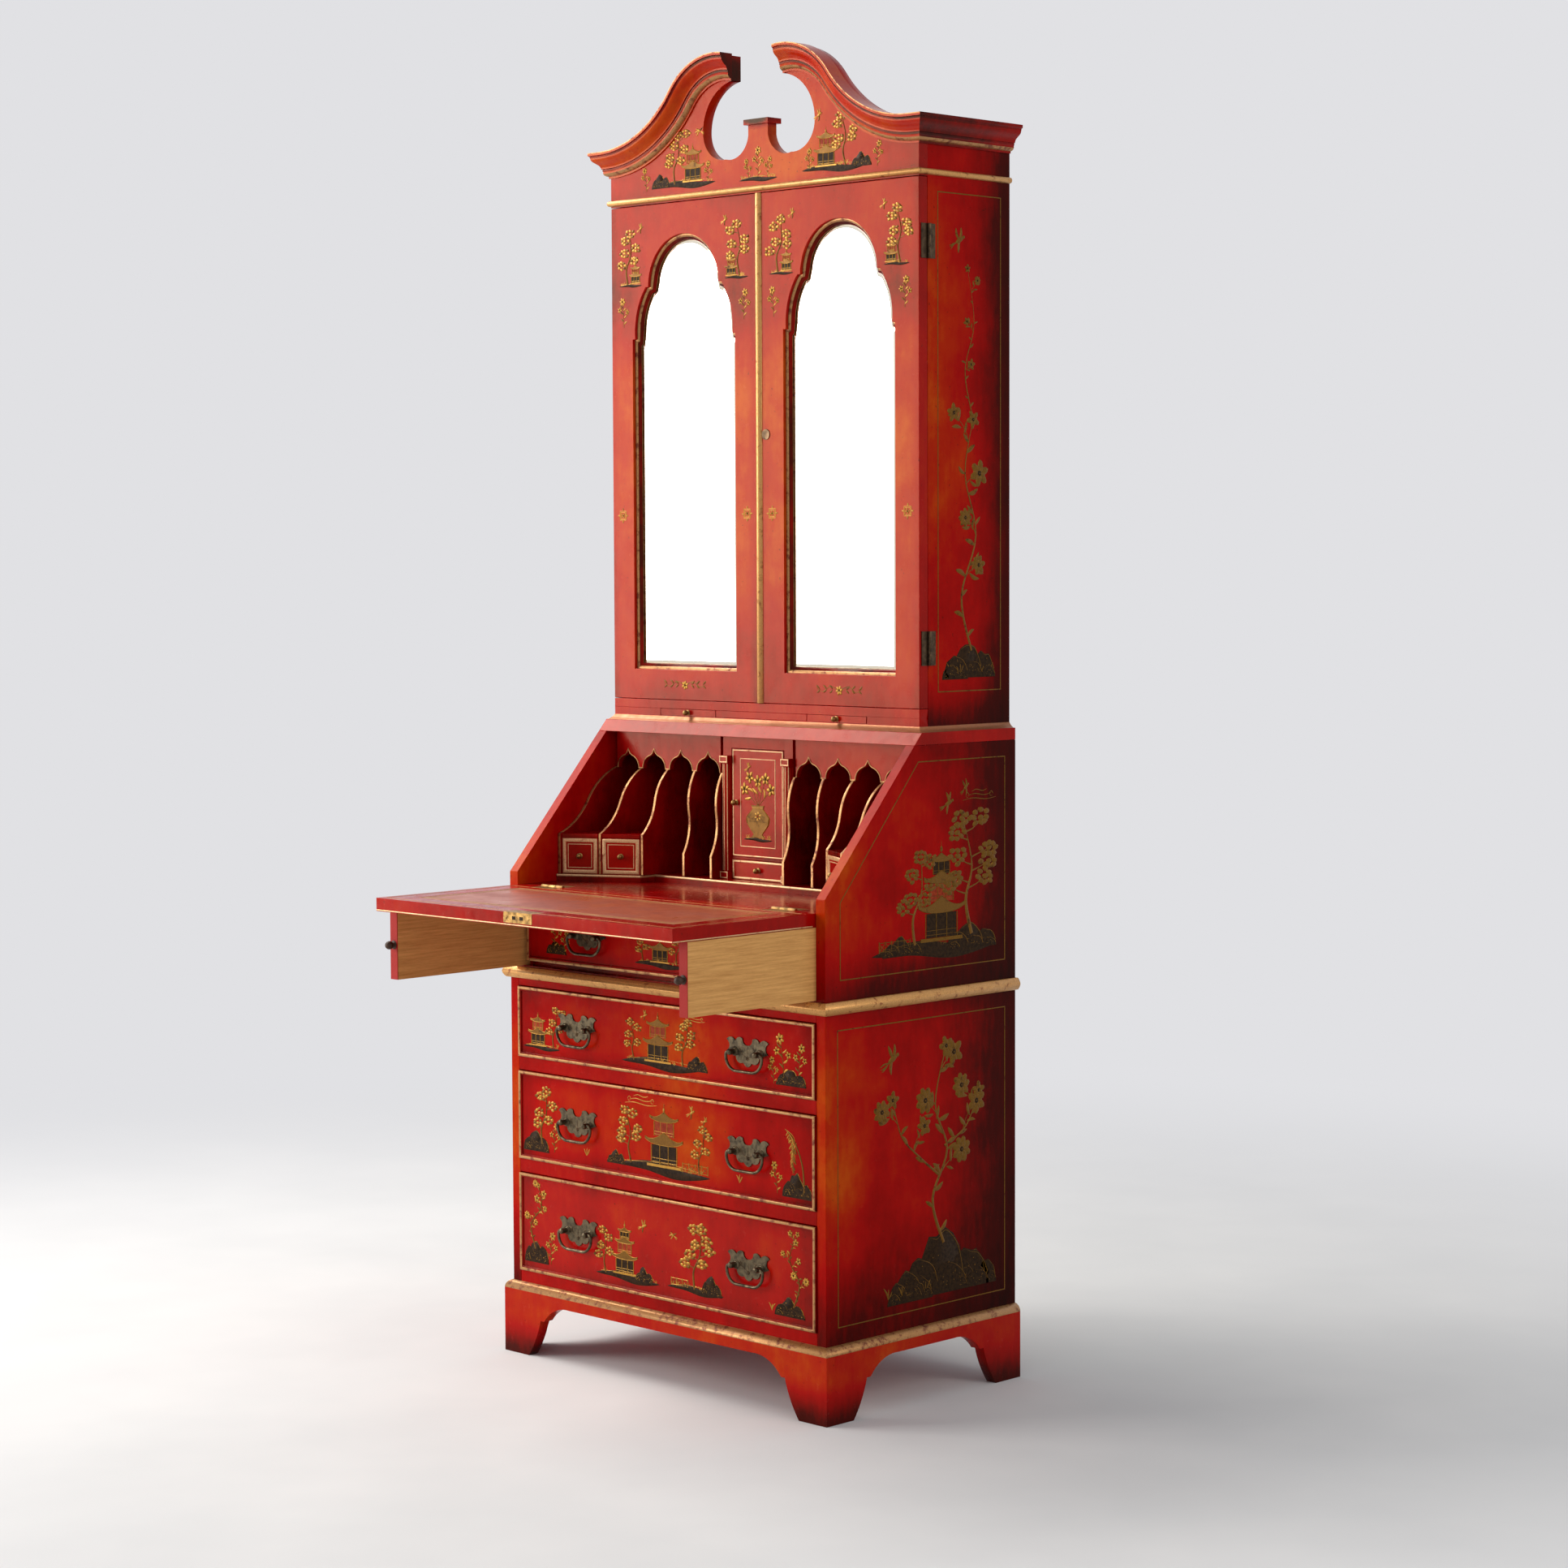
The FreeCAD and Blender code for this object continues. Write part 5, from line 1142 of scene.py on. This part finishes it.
class CABINET_OT_fall_trim(bpy.types.Operator):
    """Tools the writing leather, gilds the lower edge of the fall and plates its lock"""
    bl_idname = "cabinet.fall_trim"
    bl_label = "Fall tooling and edge"

    def execute(self, context):
        top = Plane((0, 0, WRITING), (1, 0, 0), (0, 0, 1), (0, 1, 0))
        lines = []
        for inset, width in ((4.0, 1.6), (8.5, 4.0), (15.5, 1.2)):  # from the edge of the leather
            border = rectangle(-279 + inset, -237.5 + inset, 279 - inset, -33.6 - inset)
            lines.append(sweep(top, border, half_round(width, 0.22)))
        lines.append(sweep(top, rectangle(-311, -269, 311, -16), half_round(1.6, 0.3)))
        front, low, edge = front_of("fall_board"), 714.8, half_round(1.8, 0.5)
        rims = [sweep(front_face(front), [(-320.4, low), (320.4, low)], edge, False)]
        for side in (-1, 1):
            rims.append(sweep(side_face(side, 321.0), [(front + 0.6, low), (-6.0, low)], edge, False))
        gilt_piece("fall_gilt_edge", rims, "gilding with painted highlight", "fall")
        gilt_piece("leather_tooling", lines, "tooled gold", "fall")
        work = Relief(101)
        work.plate(rectangle(-31, 718, 31, 733.4), GOLD, 0.45)
        for way in (-1, 1):
            work.plate(rectangle(way * 8 - 4, 723, way * 8 + 4, 728.5), EARTH, 0.5, 0.2)
            work.dome(way * 24, 725.7, 2.6, 2.6, 0, GOLD, 0.9, 0, 14)
            work.stroke([(way * 24 - 2, 724.6), (way * 24 + 2, 726.8)], 0.7, 0.7, EARTH, 1.3)
        work.lay("fall_lock_edge", front_face(front), "fall", "rubbed brass", "antique_brass")
        return {"FINISHED"}


class CABINET_OT_knobs(bpy.types.Operator):
    """Turns the small brass and wood knobs"""
    bl_idname = "cabinet.knobs"
    bl_label = "Knobs"

    def execute(self, context):
        shape = ((1.12, -0.05), (1.12, 0.12), (0.95, 0.22), (0.62, 0.36), (0.55, 0.5), (0.82, 0.72),
                 (1.04, 1.15), (1.07, 1.5), (0.98, 1.9), (0.74, 2.25), (0.4, 2.46), (0.1, 2.52))  # in radii
        front = front_face(SETBACK)
        spots = [("centre_drawer", front, 0.0, 760.5), ("prospect_door", front, -47.0, 863.3)]
        for side, word in SIDES:
            spots.append((f"candle_slide_{word}", front_face(CABINET_FRONT), side * 160.0, 997.5))
            for place, ends in SMALL_DRAWERS.items():
                face, long = splayed(side, *ends)
                spots.append((f"inner_drawer_{place}_{word}", face, long / 2, 773.5))
            face = front_face(front_of(f"loper_{word}") + KNOB_LENGTH * LOPER_KNOB)
            spots.append((f"loper_{word}", face, side * 313.7, 661.5))
        for body, face, u, v in spots:
            wooden = body.startswith("loper")
            size = LOPER_KNOB if wooden else KNOB
            knob = turned(face, u, v, [(r * size, h * size) for r, h in shape])
            piece(f"{body}_knob", *knob, [shared("dark walnut" if wooden else "rubbed brass")], body,
                  "oak" if wooden else "antique_brass", smooth=40.0)
        return {"FINISHED"}


class CABINET_OT_handle_chasing(bpy.types.Operator):
    """Adds turned rosettes and chased scrolls to the drawer handles"""
    bl_idname = "cabinet.handle_chasing"
    bl_label = "Handle chasing"

    def execute(self, context):
        rosette = [(7.0, -0.2), (7.0, 0.5), (6.2, 1.0), (5.5, 0.7), (5.0, 1.4), (4.4, 1.8), (4.0, 1.9)]
        tip = [(4.3, -0.5), (4.5, 0.1), (4.2, 0.9), (3.2, 1.8), (1.6, 2.3), (0.4, 2.4)]
        brass = [shared("antique brass")]
        for name in FRONT_DRAWERS:
            field = front_of(f"{name}_front") + FIELD
            face, ends = front_face(field - 1.6), front_face(field - 13.6)  # of the plates and of the posts
            plate_lo, plate_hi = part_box(f"{name}_plates")
            z = (plate_lo.z + plate_hi.z) / 2 / MM
            shapes, work = [], Relief(97)
            for word in ("left", "right"):
                lo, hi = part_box(f"{name}_bail_{word}")
                x = (lo.x + hi.x) / 2 / MM
                for way in (-1, 1):
                    shapes += [turned(face, x + way * 26.0, z, rosette), turned(ends, x + way * 26.0, z, tip)]
                    scroll = [(x + way * a, z + b) for a, b in ((3, -7), (10, -3), (14, 4), (9, 8))]
                    work.stroke(scroll, 1.5, 0.7)
                    work.leaf(x + way * 13, z + 1, 7, math.pi / 2 - way * 0.8)
                work.flower(x, z - 9, 3.4, 6, GOLD, GOLD)
                work.stroke([(x, z - 5), (x, z + 5)], 1.4, 0.7)
            piece(f"{name}_rosettes", *merged(shapes), brass, name, "antique_brass", smooth=40.0)
            work.lay(f"{name}_chasing", face, name, "darkened brass", "antique_brass")
        return {"FINISHED"}


# the gilt gardens: a seed, and each motif with its numbers in mm
DRAWER_GARDENS = {
    "drawer_1": (11, (
        ("ground", -268, 484, 84), ("pavilion", -276, 486, 36, 2), ("tree", -240, 486, 58, 6, 5),
        ("ground", 0, 484, 170), ("pavilion", -6, 487, 52, 2), ("tree", 48, 487, 66, 10, 6),
        ("tree", -58, 487, 56, -8, 5), ("rock", 78, 482, 44, 24), ("bird", -34, 556, 9, 0.4),
        ("cloud", 72, 556, 46), ("rock", 272, 481, 60, 28), ("sprig", 258, 492, 56, -8),
        ("sprig", 288, 494, 44, 6), ("sprig", 238, 482, 34, -4))),
    "drawer_2": (23, (
        ("rock", -282, 321, 58, 32), ("tree", -268, 334, 82, 10, 6), ("sprig", -240, 324, 40, 5),
        ("grass", -166, 328, 12), ("ground", 4, 326, 200), ("pavilion", 6, 330, 66, 2),
        ("tree", -66, 330, 78, -12, 7), ("fence", 46, 329, 54, 15), ("tree", 82, 330, 66, 8, 5),
        ("rock", -100, 324, 40, 22), ("cloud", -44, 420, 70), ("bird", 66, 420, 11, 0.5),
        ("bird", 94, 410, 8, 0.2), ("grass", 166, 328, 12), ("willow", 298, 330, 88, -38),
        ("rock", 284, 320, 60, 34), ("sprig", 244, 323, 40, -6))),
    "drawer_3": (37, (
        ("rock", -284, 146, 56, 38),
        ("branch", [(-286, 168), (-296, 205), (-272, 235), (-278, 268)], 3.4, 6, 6.0),
        ("sprig", -250, 148, 44, 4), ("ground", -76, 152, 140), ("pavilion", -82, 156, 46, 3),
        ("tree", -124, 154, 64, -6, 5), ("rock", -40, 150, 40, 22), ("bird", -40, 236, 11, 0.4),
        ("ground", 72, 154, 120), ("tree", 70, 156, 92, 14, 8), ("rock", 106, 151, 44, 30),
        ("fence", 20, 156, 36, 13), ("bird", 24, 232, 9, 2.6), ("rock", 268, 145, 60, 28),
        ("branch", [(276, 160), (288, 196), (268, 230), (284, 268)], 3.2, 6, 6.0), ("grass", 232, 150, 12))),
    "top_drawer": (41, (
        ("rock", -232, 632, 46, 22), ("sprig", -236, 640, 44, 8), ("sprig", -214, 634, 32, 6),
        ("ground", 0, 634, 110), ("pavilion", 0, 637, 38, 1), ("tree", 36, 637, 46, 6, 5),
        ("tree", -36, 637, 44, -6, 5), ("rock", 230, 632, 46, 22), ("sprig", 238, 640, 42, -8),
        ("sprig", 214, 634, 30, -6))),
}
FALL_GARDEN = (107, (
    ("ground", -30, 62, 330), ("rock", -190, 52, 110, 52), ("rock", 124, 54, 96, 44),
    ("pavilion", -44, 68, 92, 3), ("tree", -156, 74, 132, -16, 8), ("tree", 62, 68, 118, 16, 8),
    ("fence", 12, 66, 78, 18), ("willow", 232, 62, 128, -50), ("rock", 226, 50, 90, 44),
    ("sprig", -250, 56, 70, 8), ("bird", 60, 214, 18, 0.4), ("bird", 104, 226, 13, 0.7),
    ("cloud", -190, 222, 84), ("cloud", 150, 208, 66)))
SIDE_SEEDS = {"left": 53, "right": 59}
SIDE_GARDENS = (
    ("base", CASE, (
        ("rock", 252, 152, 190, 92), ("rock", 176, 150, 96, 52), ("rock", 322, 152, 88, 56),
        ("branch", [(250, 228), (226, 296), (258, 366), (232, 436), (256, 520)], 7.0, 3, 20.0),
        ("branch", [(240, 330), (192, 366), (158, 398), (140, 452)], 4.6, 2, 18.0),
        ("branch", [(252, 372), (300, 396), (328, 446)], 4.2, 2, 18.0), ("bird", 140, 512, 24, 0.5),
        *[("grass", spot, 160, 20) for spot in (130, 160, 210, 290, 340)])),
    ("desk", CASE, (
        ("ground", 232, 664, 270), ("rock", 312, 660, 110, 40), ("rock", 160, 660, 84, 28),
        ("pavilion", 246, 676, 82, 3), ("tree", 312, 682, 170, -18, 9), ("tree", 188, 674, 128, 14, 7),
        ("fence", 112, 668, 66, 17), ("bird", 262, 878, 18, 0.4), ("bird", 300, 900, 13, 0.7),
        ("cloud", 330, 880, 74))),
    ("cabinet", CABINET, (
        ("rock", 322, 1060, 110, 52), ("rock", 290, 1058, 56, 30),
        ("branch", [(326, 1100), (304, 1180), (336, 1270), (312, 1360), (330, 1440)], 5.0, 4, 18.0),
        ("branch", [(330, 1440), (312, 1510), (332, 1580), (318, 1660)], 2.4, 3, 8.0),
        ("bird", 300, 1700, 20, 0.5), *[("grass", spot, 1066, 18) for spot in (280, 300, 345, 365)])),
)


class CABINET_OT_drawer_ornament(bpy.types.Operator):
    """Raises gilt gardens on the drawer fronts"""
    bl_idname = "cabinet.drawer_ornament"
    bl_label = "Drawer ornament"

    def execute(self, context):
        for name, (seed, motifs) in DRAWER_GARDENS.items():
            face = front_face(front_of(f"{name}_front") + FIELD)
            Relief(seed, motifs).lay(f"{name}_ornament", face, name)
        return {"FINISHED"}


class CABINET_OT_fall_ornament(bpy.types.Operator):
    """Raises a gilt garden on the outer face of the fall, which shows when it is shut"""
    bl_idname = "cabinet.fall_ornament"
    bl_label = "Fall ornament"

    def execute(self, context):
        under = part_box("fall_board")[0].z / MM
        outer = Plane((0, 0, under), (1, 0, 0), (0, 0, -1), (0, -1, 0))
        thin = half_round(context.scene.cabinet_sizes.line / MM, 0.5)
        lines = [sweep(outer, rectangle(-286, 22, 286, 258), thin),
                 sweep(outer, rectangle(-280, 28, 280, 252), thin)]
        gilt_piece("fall_outer_lines", lines, "dimmed gilding", "fall", 60.0)
        Relief(*FALL_GARDEN).lay("fall_ornament", outer, "fall")
        return {"FINISHED"}


class CABINET_OT_side_ornament(bpy.types.Operator):
    """Raises blossom, rocks and pavilions on the sides"""
    bl_idname = "cabinet.side_ornament"
    bl_label = "Side ornament"

    def execute(self, context):
        for side, word in SIDES:
            for i, (part, half, motifs) in enumerate(SIDE_GARDENS):
                work = Relief(SIDE_SEEDS[word] + i, motifs)
                work.lay(f"{part}_side_ornament_{word}", side_face(side, half), "case", "dimmed gilding")
        return {"FINISHED"}


class CABINET_OT_upper_ornament(bpy.types.Operator):
    """Raises gilt trees and pavilions on the doors, the pediment and the prospect door"""
    bl_idname = "cabinet.upper_ornament"
    bl_label = "Upper ornament"

    def execute(self, context):
        face = front_face(CABINET_FRONT)
        for (side, word), seed in zip(SIDES, (71, 73)):
            middle = DOOR_MIDDLE * side
            work = Relief(seed)
            for way in (-1, 1):
                u = middle + way * 120
                work.draw((("ground", u - way * 2, 1664, 50), ("tree", u + way * 5, 1666, 78, -way * 6, 6),
                           ("pavilion", u - way * 13, 1667, 22, 2), ("bird", u - way * 26, 1752, 9, 0.5),
                           ("fret", middle + way * 139, 1305, 14),
                           ("sprig", middle + way * 134, 1600, 40, way * 3)))
            for way in (-1, 1):
                spray = [(middle + way * a, b) for a, b in ((0, 1040), (18, 1046), (34, 1038), (48, 1043))]
                work.stroke(spray, 1.6, 0.7, BRONZE)
                for spot in (14, 26, 40):
                    work.leaf(middle + way * spot, 1042, 9, math.pi / 2 - way * 0.9, BRONZE, 0.36)
                    work.leaf(middle + way * spot, 1041, 8, -math.pi / 2 + way * 0.9, BRONZE, 0.36)
            work.flower(middle, 1040, 7.5, 6)
            work.lay(f"door_ornament_{word}", face, f"door_{word}")

        work = Relief(83)
        for way in (-1, 1):
            work.draw((("ground", way * 158, 1812, 130), ("pavilion", way * 142, 1815, 40, 2),
                       ("tree", way * 182, 1814, 74, -way * 8, 7), ("rock", way * 214, 1810, 40, 22),
                       ("sprig", way * 246, 1808, 32, way * 4), ("sprig", way * 108, 1810, 30, 0),
                       ("bird", way * 128, 1892, 10, math.pi / 2 - way * 1.1)))
        work.draw((("ground", 0, 1808, 80), ("sprig", 0, 1811, 40, 0), ("sprig", -20, 1810, 26, -5),
                   ("sprig", 20, 1810, 26, 5)))
        work.lay("pediment_ornament", face, "case")

        work = Relief(89, (("ground", 0, 808, 60), ("vase", 0, 811, 92), ("bird", -20, 918, 9, 0.5)))
        work.lay("prospect_door_ornament", front_face(SETBACK), "prospect_door")
        return {"FINISHED"}


class CABINET_OT_stage(bpy.types.Operator):
    """Sets the camera, the pale floor and the soft studio light"""
    bl_idname = "cabinet.stage"
    bl_label = "Stage"

    def execute(self, context):
        scene = context.scene
        view = bpy.data.cameras.new("camera")
        view.sensor_width, view.lens = 36.0, 78.667
        camera = bpy.data.objects.new("camera", view)
        # the photo's view, fitted to straight edges of the case
        place = (3.69195, -3.54122, 1.24108)
        right = Vector((0.71163, 0.702542, -0.004024))
        up = Vector((-0.043875, 0.050157, 0.997777))
        ahead = Vector((-0.701183, 0.709872, -0.066517))
        camera.matrix_world = Matrix.Translation(place) @ Matrix((right, up, -ahead)).transposed().to_4x4()
        scene.collection.objects.link(camera)
        scene.camera = camera

        mesh = bpy.data.meshes.new("studio_floor")
        mesh.from_pydata([(-20, -20, 0), (20, -20, 0), (20, 20, 0), (-20, 20, 0)], [], [(0, 1, 2, 3)])
        mesh.materials.append(studio_floor("studio paper", "#DDDFE1", BACKDROP))
        floor = bpy.data.objects.new("studio_floor", mesh)
        scene.collection.objects.link(floor)
        warm_white = (1.0, 0.95, 0.89)
        for name, spot, aim, wide, tall, power in (
                ("key_softbox", (-3.15, -3.0, 1.65), (0.0, 0.1, 1.35), 2.3, 2.4, 140.0),
                ("top_softbox", (-2.55, -0.62, 3.2), (0.0, 0.0, 0.9), 2.0, 1.7, 105.0),
                ("fill_softbox", (4.2, 0.4, 2.6), (0.2, 0.1, 1.0), 1.6, 2.2, 40.0)):
            light = bpy.data.lights.new(name, "AREA")
            light.shape, light.size, light.size_y, light.energy = "RECTANGLE", wide, tall, power
            light.color = warm_white
            lamp = bpy.data.objects.new(name, light)
            lamp.location = spot
            lamp.rotation_euler = (Vector(aim) - Vector(spot)).to_track_quat("-Z", "Y").to_euler()
            scene.collection.objects.link(lamp)

        world = bpy.data.worlds.new("studio")
        world.use_nodes = True
        tree = world.node_tree
        soft = add(tree, tree.nodes["Background"], {"Color": linear("#F2F4F7"), "Strength": 0.42})
        pale = add(tree, "Background", {"Color": linear(BACKDROP), "Strength": 1.0})
        mixed = add(tree, "MixShader", [seen_rays(tree), soft, pale])
        add(tree, tree.nodes["World Output"], {"Surface": mixed})
        scene.world = world
        scene.view_settings.view_transform = "Standard"
        return {"FINISHED"}


class CABINET_PT_panel(bpy.types.Panel):
    """Lists the steps that build the cabinet's looks"""
    bl_idname = "CABINET_PT_panel"
    bl_label = "Writing Cabinet"
    bl_space_type = "VIEW_3D"
    bl_region_type = "UI"
    bl_category = "Cabinet"

    def draw(self, context):
        for group in (context.scene.cabinet_sizes, context.scene.cabinet_colours):
            for name in group.bl_rna.properties.keys():
                if name not in ("name", "rna_type"):
                    self.layout.prop(group, name)
        for step in STEPS:
            self.layout.operator(step.bl_idname)


STEPS = (CABINET_OT_finishes, CABINET_OT_cornice, CABINET_OT_drawer_beads, CABINET_OT_mirrors,
         CABINET_OT_side_lines, CABINET_OT_pigeonholes, CABINET_OT_small_drawers, CABINET_OT_fall_trim,
         CABINET_OT_knobs, CABINET_OT_handle_chasing, CABINET_OT_drawer_ornament, CABINET_OT_fall_ornament,
         CABINET_OT_side_ornament, CABINET_OT_upper_ornament, CABINET_OT_stage)
CLASSES = (CabinetSizes, CabinetColours) + STEPS + (CABINET_PT_panel,)


def register():
    """Registers the classes and hangs the settings on the scene."""
    for kind in CLASSES:
        bpy.utils.register_class(kind)
    bpy.types.Scene.cabinet_sizes = PointerProperty(type=CabinetSizes)
    bpy.types.Scene.cabinet_colours = PointerProperty(type=CabinetColours)


def unregister():
    """Takes the settings and the classes away again."""
    del bpy.types.Scene.cabinet_colours
    del bpy.types.Scene.cabinet_sizes
    for kind in reversed(CLASSES):
        bpy.utils.unregister_class(kind)


def main():
    """Builds every piece in order."""
    register()
    bpy.ops.cabinet.finishes()
    bpy.ops.cabinet.cornice()
    bpy.ops.cabinet.drawer_beads()
    bpy.ops.cabinet.mirrors()
    bpy.ops.cabinet.side_lines()
    bpy.ops.cabinet.pigeonholes()
    bpy.ops.cabinet.small_drawers()
    bpy.ops.cabinet.fall_trim()
    bpy.ops.cabinet.knobs()
    bpy.ops.cabinet.handle_chasing()
    bpy.ops.cabinet.drawer_ornament()
    bpy.ops.cabinet.fall_ornament()
    bpy.ops.cabinet.side_ornament()
    bpy.ops.cabinet.upper_ornament()
    bpy.ops.cabinet.stage()


if __name__ == "__main__":
    main()
